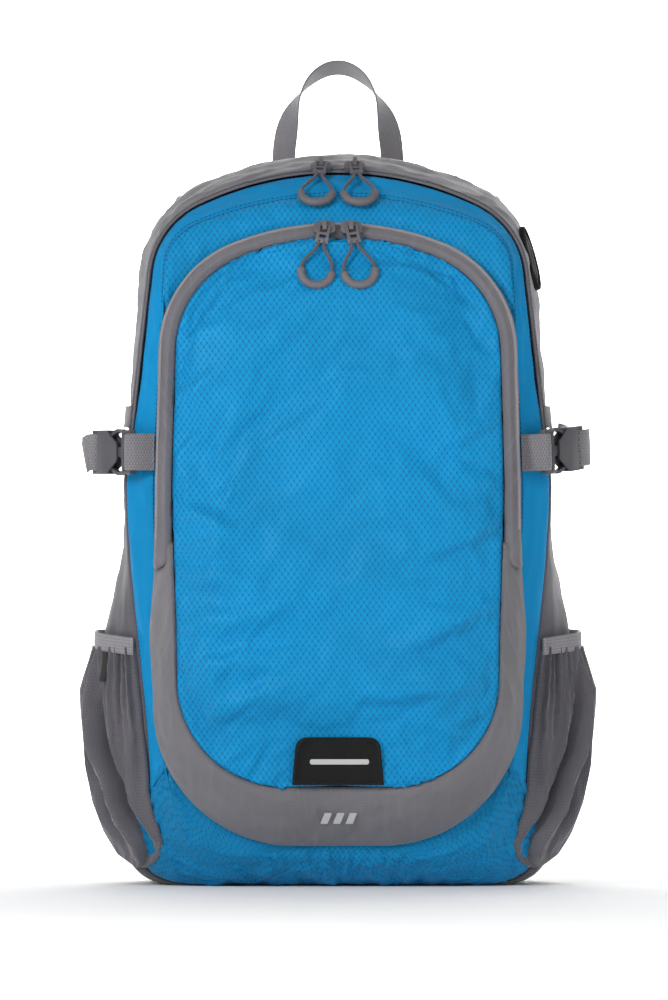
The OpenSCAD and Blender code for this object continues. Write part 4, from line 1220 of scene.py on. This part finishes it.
def side_pockets():
    u, z = eased(104, 0.5)[None, :], mix(11.0, HEM_Z + 0.5, eased(70, 0.4))[:, None]
    base = pouch(u, z, 2.2)
    rise = (z - 11) / (HEM_Z - 11)
    gather = np.sin(2 * np.pi * (u * 19 + 0.35 * np.sin(9 * u))) * 1.9 * ease((rise - 0.45) / 0.5)
    gather = gather + 1.6 * np.sin(2 * np.pi * (u * 7.3 + 0.4 + 0.5 * rise)) * ease(rise / 0.5)
    long_fold = u + 0 * z
    middle = 0.06 + 0.24 * ease(rise * 1.1) + 0.05 * np.sin(3 * rise)
    deep = (-13 * np.exp(-(((long_fold - middle) / 0.03) ** 2))
            * np.sin(np.pi * np.clip(rise * 1.02 + 0.04, 0, 1)) ** 0.5)
    lip = (8 * np.exp(-(((long_fold - middle - 0.07) / 0.04) ** 2))
           * np.sin(np.pi * np.clip(rise, 0, 1)) ** 0.6)
    second = 4.0 * np.exp(-(((long_fold - middle - 0.22 - 0.1 * rise) / 0.04) ** 2)) * ease(rise / 0.4)
    third = -4.5 * np.exp(-(((long_fold - middle - 0.15 - 0.05 * rise) / 0.025) ** 2)) * ease(rise / 0.3)
    hold = ease(np.minimum(u, 1 - u) / 0.05)
    for name, sign in SIDES.items():
        lift = (gather + deep + lip + second + third) * hold * ease(rise / 0.08)
        grid = base + normals(base) * lift[..., None]
        grid = creased(grid, 1.5, 22, 71.0 + sign, (0.5, 1.4), fade=8)
        grid = seamed(grid, "first start end", 1.3, 1.4, 0.25, 3.2)
        grid[..., 2] = np.maximum(grid[..., 2], 3)
        limit = np.interp(grid[..., 2], [12, 21, 36, 57, 82, 133, 162],
                          [137, 150, 159.5, 167.5, 172, 176, 166.5])
        grid[..., 0] -= 0.85 * np.maximum(0, grid[..., 0] - limit)
        if sign < 0:
            grid = mirrored(grid)
        sewn(f"side_pocket_{name}", grid, "grey_stretch", instead=f"side_pocket_{name}")
        stitch("grey_pack", grid, start=2.4, end=2.4)
    parts = []
    u = eased(90, 0.4)
    turn = np.linspace(0, 2 * np.pi, 18, endpoint=False)
    for sign in (1, -1):
        centre = pouch(u, np.full_like(u, HEM_Z + HEM_H / 2), 2.6)
        centre[:, 2] -= 5.0 * (1 - u) ** 2.2
        centre[:, 0] -= 0.8 * np.maximum(0, centre[:, 0] - 163.5)
        run = unit(np.gradient(centre, axis=0))
        out = unit(np.cross(run, [0, 0, 1.0]))
        out = out if np.mean(out[:, 0]) > 0 else -out
        ripple = 0.45 * np.sin(2 * np.pi * u * 38)
        up = np.array([0, 0, 1.0])
        section = np.stack([1.35 * np.sign(np.cos(turn)) * np.abs(np.cos(turn)) ** 0.6,
                            6.0 * np.sign(np.sin(turn)) * np.abs(np.sin(turn)) ** 0.5], -1)
        grid = (centre[:, None] + out[:, None] * (section[None, :, :1] + ripple[:, None, None])
                + up * section[None, :, 1:])
        if sign < 0:
            grid = mirrored(grid)
        n, m = grid.shape[:2]
        faces = quads(n, m, True)
        p = grid.reshape(-1, 3)
        facing = np.cross(p[faces[:, 1]] - p[faces[:, 0]], p[faces[:, 2]] - p[faces[:, 0]])
        hub = np.repeat(grid.mean(1), m, 0)[faces[:, 0]]
        flip = np.sum(facing * (p[faces[:, 0]] - hub)) < 0
        faces = (faces[:, ::-1] if flip else faces).tolist()
        ends = [list(range(m))[::-1], list(range((n - 1) * m, n * m))]
        faces += [e[::-1] for e in ends] if flip == (sign > 0) else ends
        flat = np.stack([np.broadcast_to(arcs(centre[:, None], 0), (n, m)),
                         np.broadcast_to(section[None, :, 1], (n, m))], -1)
        name = "right" if sign > 0 else "left"
        obj = stitched(f"hem_{name}", p, faces, flat.reshape(-1, 2), "grey_binding")
        parts.append(obj)
    on("pack", joined("pocket_hems", parts), instead="pocket_hems")
    tag = mirrored(pouch(np.linspace(0.2, 0.262, 8)[None, :], np.linspace(139, 159, 12)[:, None], 5.2))
    tag[..., 0] += 0.8 * np.sin(np.linspace(0, 3, 12))[:, None]
    sewn("side_label", tag, "black_label", thick=0.8, instead="side_label")


# ---------------------------------------------------------------- Webbing and buckles

BUCKLE_AT = np.array([139.5, -58.5, 295.0])
BUCKLE_YAW = math.radians(56)


def buckle_place(points, side):
    """From the buckle's own frame, x along the strap, y up and z out of it, to the bag"""
    p = np.asarray(points, float)
    roll = math.radians(4 if side > 0 else 0)
    x = p[..., 0] * math.cos(roll) - p[..., 1] * math.sin(roll)
    y = p[..., 0] * math.sin(roll) + p[..., 1] * math.cos(roll)
    depth = -p[..., 2]
    world = np.stack([x * math.cos(BUCKLE_YAW) - depth * math.sin(BUCKLE_YAW),
                      x * math.sin(BUCKLE_YAW) + depth * math.cos(BUCKLE_YAW), y], -1) + BUCKLE_AT
    world[..., 0] *= side
    return world


def buckle_direction(v, side):
    return unit(buckle_place(np.asarray(v, float), side) - buckle_place(np.zeros(3), side))


def compression_straps():
    fronts = []
    tails = {"right": [[56, 0, 0.6], [52, 0, 2.6]],
             "left": [[54, -3.4, 3.2], [51, -1.6, 3.9]]}
    for name, side in SIDES.items():
        across = buckle_direction((0, 1, 0), side)
        path = [[-8.6, 0, -12.2], [-6.4, 0, -7.5], [-4.2, 0, -1.6], [-1.6, 0, 2.6], [1.4, 0, 3.6],
                [4, 0, 2.8], [4.9, 0, 0], [4, 0, -2.8], [1.4, 0, -3.6], [-1, 0, -4.4]]
        fronts.append(strap(f"front_{name}", buckle_place(path, side), across, step=1.2))
        path = tails[name] + [[47.5, 0, 3.7], [43.4, 0, 3.4], [41, 0, 2.4], [40.3, 0, 0], [41, 0, -2.6],
                              [44, 0, -3.7], [49, 0, -5.6], [60, 0, -14], [85, 0, -35], [108, 0, -54],
                              [117, 0, -63]]
        web = strap(f"compression_web_{name}", buckle_place(path, side), across, step=1.6)
        ends = buckle_place([[117, 0, -63], [49, 0, -5]], side) * MM
        sewn_across(web, f"compression_web_{name}")
        hardware("pack", f"buckle_tongue_{name}", f"buckle_male_{name}", "buckle_plastic", 0.5)
        hardware(f"buckle_{name}", f"buckle_body_{name}", f"buckle_female_{name}", "buckle_plastic", 0.5)
        cross = buckle_place([[-5.6, y, 0.2] for y in np.linspace(-10.5, 10.5, 12)], side)
        out = np.tile(buckle_direction((-0.5, 0, 0.7), side), (12, 1))
        run_along("grey_web", (cross + out * 1.0, out))
    on("pack", joined("compression_web_front", fronts), instead="compression_web_front")


def haul_handle():
    half, top, low = 37.5, 561.0, 494.0
    t = np.linspace(0, 180, 33)
    sine = np.sin(np.radians(t))
    points = np.stack([half * np.cos(np.radians(t)), mix(98.2, 91, ease(sine)), low + (top - low) * sine], -1)
    k = ease(sine * 1.35 - 0.35)[:, None]
    s = np.where(t < 90, 1.0, -1.0)
    legs = np.stack([-0.62 * s, np.full_like(s, -0.78), 0 * s], -1)
    across = mix(legs, np.array([0, -0.93, 0.36]), k)
    for sign, end in ((1, 0), (-1, -1)):
        foot = np.array([[sign * (half + 0.2), 98.6, 484.0], [sign * half, 98.6, 489.5]])
        points = np.vstack([foot, points]) if end == 0 else np.vstack([points, foot[::-1]])
        turn = np.array([[-0.75 * sign, -0.66, 0], [-0.68 * sign, -0.73, 0]])
        across = np.vstack([turn, across]) if end == 0 else np.vstack([across, turn[::-1]])
    handle = strap("haul_handle", points, across)
    sewn_across(handle, "haul_handle")


# ---------------------------------------------------------------- Harness

PAD_KEYS = [[62, 104.6, 440, 33], [67, 110, 460, 35], [74, 122, 469, 36], [78, 136, 462, 35],
            [80, 146, 436, 33], [80, 150, 400, 31], [80, 150, 345, 30], [80, 150, 295, 30],
            [81, 147, 255, 29], [84, 141, 215, 27], [88, 132, 179, 24]]
PAD_T = 12.0
LOCK_AT = np.array([89, 128.4, 166.0])
LOCK_TILT = math.radians(-14)


def lock_place(points):
    p = np.asarray(points, float)
    y = p[..., 1] * math.cos(LOCK_TILT) - p[..., 2] * math.sin(LOCK_TILT)
    z = p[..., 1] * math.sin(LOCK_TILT) + p[..., 2] * math.cos(LOCK_TILT)
    return np.stack([p[..., 0], y, z], -1) + LOCK_AT


def padded_section(n=36, edge=0.14):
    """A pad's section, 1 wide each way: crowned faces, and flat edges where the binding closes it"""
    a = np.linspace(0, 2 * np.pi, n, endpoint=False)
    x = np.sign(np.cos(a)) * np.abs(np.cos(a)) ** 0.7
    y = np.sign(np.sin(a)) * (edge + (1 - edge) * np.abs(np.sin(a)) ** 0.8)
    return np.stack([x, np.where(np.abs(np.sin(a)) < 1e-6, 0, y)], -1)


def shoulder_pads():
    keys = np.array(PAD_KEYS, float)
    path = smooth_path(keys[:, :3], 3.0)
    near = [np.argmin(np.linalg.norm(path - k[:3], axis=1)) for k in keys]
    wide = np.interp(np.arange(len(path)), near, keys[:, 3])
    length = arcs(path[:, None], 0)[:, 0]
    away = np.minimum(length, length[-1] - length)
    rounding = np.sqrt(np.clip(away / 16, 0.04, 1))
    channel = 1 - 0.16 * np.exp(-(((length % 92) - 46) / 5.0) ** 2)
    for name, side in SIDES.items():
        p = path * [side, 1, 1]
        scale = np.stack([wide - 1.2, (PAD_T / 2 + 0.6) * channel * (0.4 + 0.6 * rounding)], -1)
        pad = swept(f"shoulder_pad_{name}", p, (1, 0, 0), padded_section(), "air_mesh", scale)
        uv = pad.data.uv_layers[0].data
        for poly in pad.data.polygons:
            for loop in poly.loop_indices:
                uv[loop].uv.x *= 30
        on("harness", pad, instead=f"shoulder_pad_{name}")
        run = unit(np.gradient(p, axis=0))
        lateral = unit(np.array([1.0, 0, 0]) - run * run[:, :1])
        loop = np.vstack([p + lateral * (wide[:, None] - 1.0), (p - lateral * (wide[:, None] - 1.0))[::-1]])
        loop = np.vstack([loop[4:-4], loop[4:5]])
        binding = swept(f"pad_binding_{name}", loop, (0, 1, 0.001), strap_section(2.6, 3.4, 12),
                        "grey_binding")
        on("harness", binding)
        for sign in (-1, 1):
            line = p + lateral * sign * (wide[:, None] - 5.5)
            out = unit(np.cross(lateral, run)) * side
            out = out * np.sign(np.sum(out * np.array([0, 1.0, 0.2]), -1, keepdims=True))
            run_along("grey_harness", ((line + out * 4.6)[6:-6:2], out[6:-6:2]))


def back():
    """The back panel, its two pads and the yoke they hang from"""
    u, side = both_halves(np.linspace(0, 6, 150))
    s = np.concatenate([eased(20, 0.5)[:-1], [0.9995]])[:, None]
    outline = BACK.inset(1.0).line(u)
    outline[:, 0] *= side
    middle = np.array([0, 250.0])
    flat = mix(outline[None], middle, s[..., None])
    shape = np.stack([flat[..., 0], 94.2 + 2.2 * ease(s / 0.25) + 0 * flat[..., 0], flat[..., 1]], -1)
    shape = creased(shape, 0.8, 40, 81.0, fade=14, inside=HEART)
    shape = seamed(shape, "first", 2.4, 2.0)
    sewn("back_panel_cloth", shape, "foam_back", flat=shape[..., [0, 2]], thick=1.0, instead="back_panel")
    stitch("grey_pack", shape, first=3.5)
    pads = []
    for side in (1, -1):
        x, z = np.linspace(-1, 1, 46)[None, :], np.linspace(-1, 1, 150)[:, None]
        reach = 43 * (1 - np.maximum(0, np.abs(z) * 170 - 146) ** 2 / 24**2 * 0.42)
        px, pz = x * reach, 235 + z * 170
        away = np.minimum(reach - np.abs(px), 170 - np.abs(pz - 235))
        rise = 9.0 * ease(away / 13) ** 0.5
        groove = 3.4 * np.exp(-((((pz - 235 + 500) % 68) - 34) / 3.4) ** 2) * ease(away / 9)
        lane = 2.6 * np.exp(-((px / 3.2) ** 2)) * ease(away / 9)
        y = 95.6 + rise - groove - lane + 0 * px
        grid = np.stack([px + 62 * side + 0 * z, y, pz + 0 * x], -1)
        pads.append(fixed(panel(f"back_pad_{side}", grid, "air_mesh", thick=1.2)))
    pads = joined("back_pads", pads)
    on("pack", pads, instead="back_pads")
    shape = rounded_outline([(-98, 433), (98, 433), (98, 463), (-98, 463)], [10] * 4)

    def behind(p):
        p = np.asarray(p, float)
        return np.stack([-p[..., 0], 95.2 + p[..., 2], p[..., 1]], -1)

    yoke = badge("strap_yoke", shape, behind, "grey_fabric", 2.2, edge=0.6)
    tabs = [strap(f"handle_tab_{side}", [[side * 37.5, 96.6, 440], [side * 37.5, 97.6, 465],
                                         [side * 37.5, 97.8, 491]], (1, 0, 0)) for side in (1, -1)]
    on("pack", yoke, instead="strap_yoke")
    on("pack", joined("handle_tabs", tabs))
    for z in (437.0, 459.0):
        x = np.linspace(-92, 92, 80)
        run_along("grey_pack", (np.stack([x, np.full(80, 97.7), np.full(80, z)], -1),
                                np.tile([0, 1.0, 0], (80, 1))))


def harness_straps():
    both = (1, -1)
    top = [[0, 1.2, 11.4], [0, 3.1, 7], [0, 3.3, 3], [0, 3, 1.2], [0, 1.9, -0.2], [0, 0, -0.7],
           [0, -1.9, -0.2], [0, -3, 1.2], [0, -3.3, 3], [0, -3.1, 7], [0, -1.2, 11.4]]
    tail = [[0, 0.6, -8.4], [0, 2.2, -8.8], [0, 3.2, -11.4], [0, 3.4, -17], [0, 3.8, -26], [0.5, 4, -45],
            [1.5, 3, -68], [2.5, 1.6, -90]]
    low = [[128, 98.9, 42], [121, 101, 62], [112.5, 105, 86], [104, 110, 108], [95.6, 115, 128],
           [91, 118, 138.5], [89.2, 119.3, 143.5], [89, 120.8, 149.3], [89, 122.1, 154.2],
           [89, 123.2, 156.3], [89, 124.5, 157.2]]
    across = [[0.95, 0, 0.3]] * 5 + [[1, 0, 0.16]] + [[1, 0, 0]] * 5
    flip = np.array([-1.0, 1, 1])

    def pair(name, points, across, step=2.0, half=WEB_W / 2):
        made = []
        for side in both:
            m = np.array([side, 1.0, 1.0])
            made.append(strap(f"{name}_{side}", np.asarray(points) * m, np.asarray(across, float) * m,
                              half, step=step))
        return joined(name, made)

    on("harness", pair("pad_webs", lock_place(top), (1, 0, 0), 1.0), instead="pad_webs")
    on("harness", pair("web_tails", lock_place(tail), (1, 0, 0)), instead="web_tails")
    webs = pair("lower_webs", low, across)
    sewn_across(webs, "lower_webs")
    hardware("harness", "ladder_locks_moulded", "ladder_locks", "buckle_plastic", 0.5)
    hardware("harness", "strap_rails_moulded", "strap_rails", "buckle_plastic", 0.4)
    hardware("pack", "web_anchors_sewn", "web_anchors", "grey_fabric", 0.6)
    hardware("chest_strap", "chest_clips_moulded", "chest_clips", "buckle_plastic", 0.4)
    hardware("chest_strap", "chest_buckle_body", "chest_buckle_female", "buckle_plastic", 0.5)
    hardware("chest_male", "chest_buckle_tongue", "chest_buckle_male", "buckle_plastic", 0.5)
    rail_x, y, z = 58.0, 164.0, 345.0
    left = [[-rail_x + 10.6, y - 3.1, z], [-rail_x + 9, y - 2, z], [-rail_x + 8.6, y, z],
            [-rail_x + 10, y + 2.5, z], [-42, y + 3.3, z], [-22.6, y + 3.4, z], [-19.9, y + 3.2, z],
            [-18.7, y + 2.2, z], [-18.2, y, z], [-18.7, y - 2.2, z], [-19.9, y - 3.2, z],
            [-22.6, y - 3.4, z], [-34, y - 3.3, z]]
    right = [[rail_x - 10.6, y - 3.1, z], [rail_x - 9, y - 2, z], [rail_x - 8.6, y, z],
             [rail_x - 10, y + 2.5, z], [42, y + 3.3, z], [22.4, y + 3.4, z], [19.6, y + 3.2, z],
             [18.2, y + 2.2, z], [17.6, y, z], [18.2, y - 2.2, z], [19.6, y - 3.2, z], [22.4, y - 3.4, z],
             [36, y - 3.3, z]]
    web = strap("chest_web_left", left, (0, 0, 1), 10, step=1.2)
    sewn_across(web, "chest_web_left")
    on("chest_strap", strap("chest_web_right", right, (0, 0, 1), 10, step=1.2), instead="chest_web_right")


# ---------------------------------------------------------------- Zip pulls


# Where a pull hangs from its slider, in the slider's own frame
BRIDGE_AT = np.array([0, 7.4, 0.4])
CORD_R = 1.15
GRIP_R = 2.85
# For each zip: its arc's radius, how far that arc tips forward, the slider's place on it and its lean,
# then how far the pull fans out and tips, all in degrees
ZIPS = {"main": (212, 40, 4, 60, 9, -9), "pocket": (190, 24, 3, 24, 12, 1)}


def about_x(a):
    c, s = math.cos(a), math.sin(a)
    return np.array([[1, 0, 0], [0, c, -s], [0, s, c]])


def about_y(a):
    c, s = math.cos(a), math.sin(a)
    return np.array([[c, 0, s], [0, 1, 0], [-s, 0, c]])


def on_arc(top, r, tip, angle, lean):
    """The frame of something on a zip's arc: x along the arc, y out of it and z up"""
    tip, angle, lean = (math.radians(a) for a in (tip, angle, lean))
    turn = about_x(-tip) @ about_y(angle)
    start = np.asarray(top) - r * np.array([0, math.sin(tip), math.cos(tip)])
    place = start + turn @ np.array([0, 0, r])
    turn = turn @ about_x(tip - lean) @ np.diag([-1.0, -1.0, 1.0])
    return place, turn


def hung(frame_at, side, fan, pitch):
    """The frame of a pull, fanned out and tipped from its slider"""
    place, turn = frame_at
    place = place + turn @ BRIDGE_AT
    return place, turn @ about_x(math.radians(pitch)) @ about_y(math.radians(side * fan))


def zip_pulls():
    main_top = [0, float(depth_y(0.1, 487)), 487.0]
    pocket_z = POCKET_TOP - 5.5
    pocket_top = [0, float(face_y(pocket_z)) - POCKET_HIGH_H * 1.04, pocket_z]
    tops = {"main": main_top, "pocket": pocket_top}
    mid, grip_z, leg_top = 10.5, -34.8, -14.5
    leg = [[1.8, 0, leg_top + 2.2], [1.9, 0, leg_top], [3.4, 0, leg_top - 4], [7, 0, leg_top - 9.5],
           [9.6, 0, leg_top - 14], [mid - 0.1, 0, grip_z + 2.6]]
    bow = [[-mid * math.cos(math.radians(t)), 0, grip_z - mid * math.sin(math.radians(t))]
           for t in np.linspace(180, 0, 17)]
    line = np.array(leg + bow + [[-x, y, z] for x, y, z in leg[::-1]])
    for kind, (r, tip, angle, lean, fan, pitch) in ZIPS.items():
        for name, side in SIDES.items():
            slider = on_arc(tops[kind], r * math.cos(math.radians(tip)), tip, side * angle, lean)
            place, turn = hung(slider, side, fan, pitch)
            cord = line @ turn.T + place
            arc = np.array(bow) @ turn.T + place
            pull = f"{kind}_pull_{name}"
            on(pull, cord_tube(f"{kind}_pull_cord_{name}", cord, CORD_R, "pull_cord", turn[:, 1], 8),
               instead=f"{kind}_cord_{name}")
            ends = np.vstack([arc[:1] - unit(arc[1:2] - arc[:1]) * 0.6, arc,
                              arc[-1:] + unit(arc[-1:] - arc[-2:-1]) * 0.6])
            path = smooth_path(ends, 0.9)
            size = 1 - 0.28 * np.exp(-np.minimum(np.arange(len(path)), np.arange(len(path))[::-1]) / 1.3)
            grip = swept(f"{kind}_pull_grip_{name}", path, turn[:, 1], round_section(GRIP_R, 14),
                         "grip_plastic", np.stack([size, size], -1))
            on(pull, grip, instead=f"{kind}_grip_{name}")
            hardware(pull, f"{kind}_pull_tab_{name}", f"{kind}_tab_{name}", "zip_metal", 0.35)
            hardware(f"{kind}_slider_{name}", f"{kind}_zip_slider_{name}", f"{kind}_slider_{name}",
                     "zip_metal", 0.5, 3)


studio()
body_cloth()
front_cloth()
main_zip()
NODES["main_zip_coil"].material_slots[0].material = CLOTH["zip_coil"]
front_trims()
side_pockets()
compression_straps()
haul_handle()
shoulder_pads()
back()
harness_straps()
zip_pulls()
set_runs("stitches_grey", "grey_pack", "pack", "thread_grey", 3.2, 2.3, 0.6, 0.45)
set_runs("stitches_dark", "dark_pack", "pack", "thread_dark", 3.2, 2.3, 0.6, 0.45)
set_runs("stitches_tab", "dark_rubber", "pack", "black_label", 2.6, 1.8, 0.6, 0.45)
set_runs("stitches_web", "grey_web", "pack", "thread_grey", 2.4, 1.8, 0.6, 0.5)
set_runs("stitches_harness", "grey_harness", "harness", "thread_grey", 3.2, 2.3, 0.6, 0.5)
set_runs("main_zip_teeth", "teeth", "pack", "zip_coil", 1.5, 0.95, 3.6, 1.5)
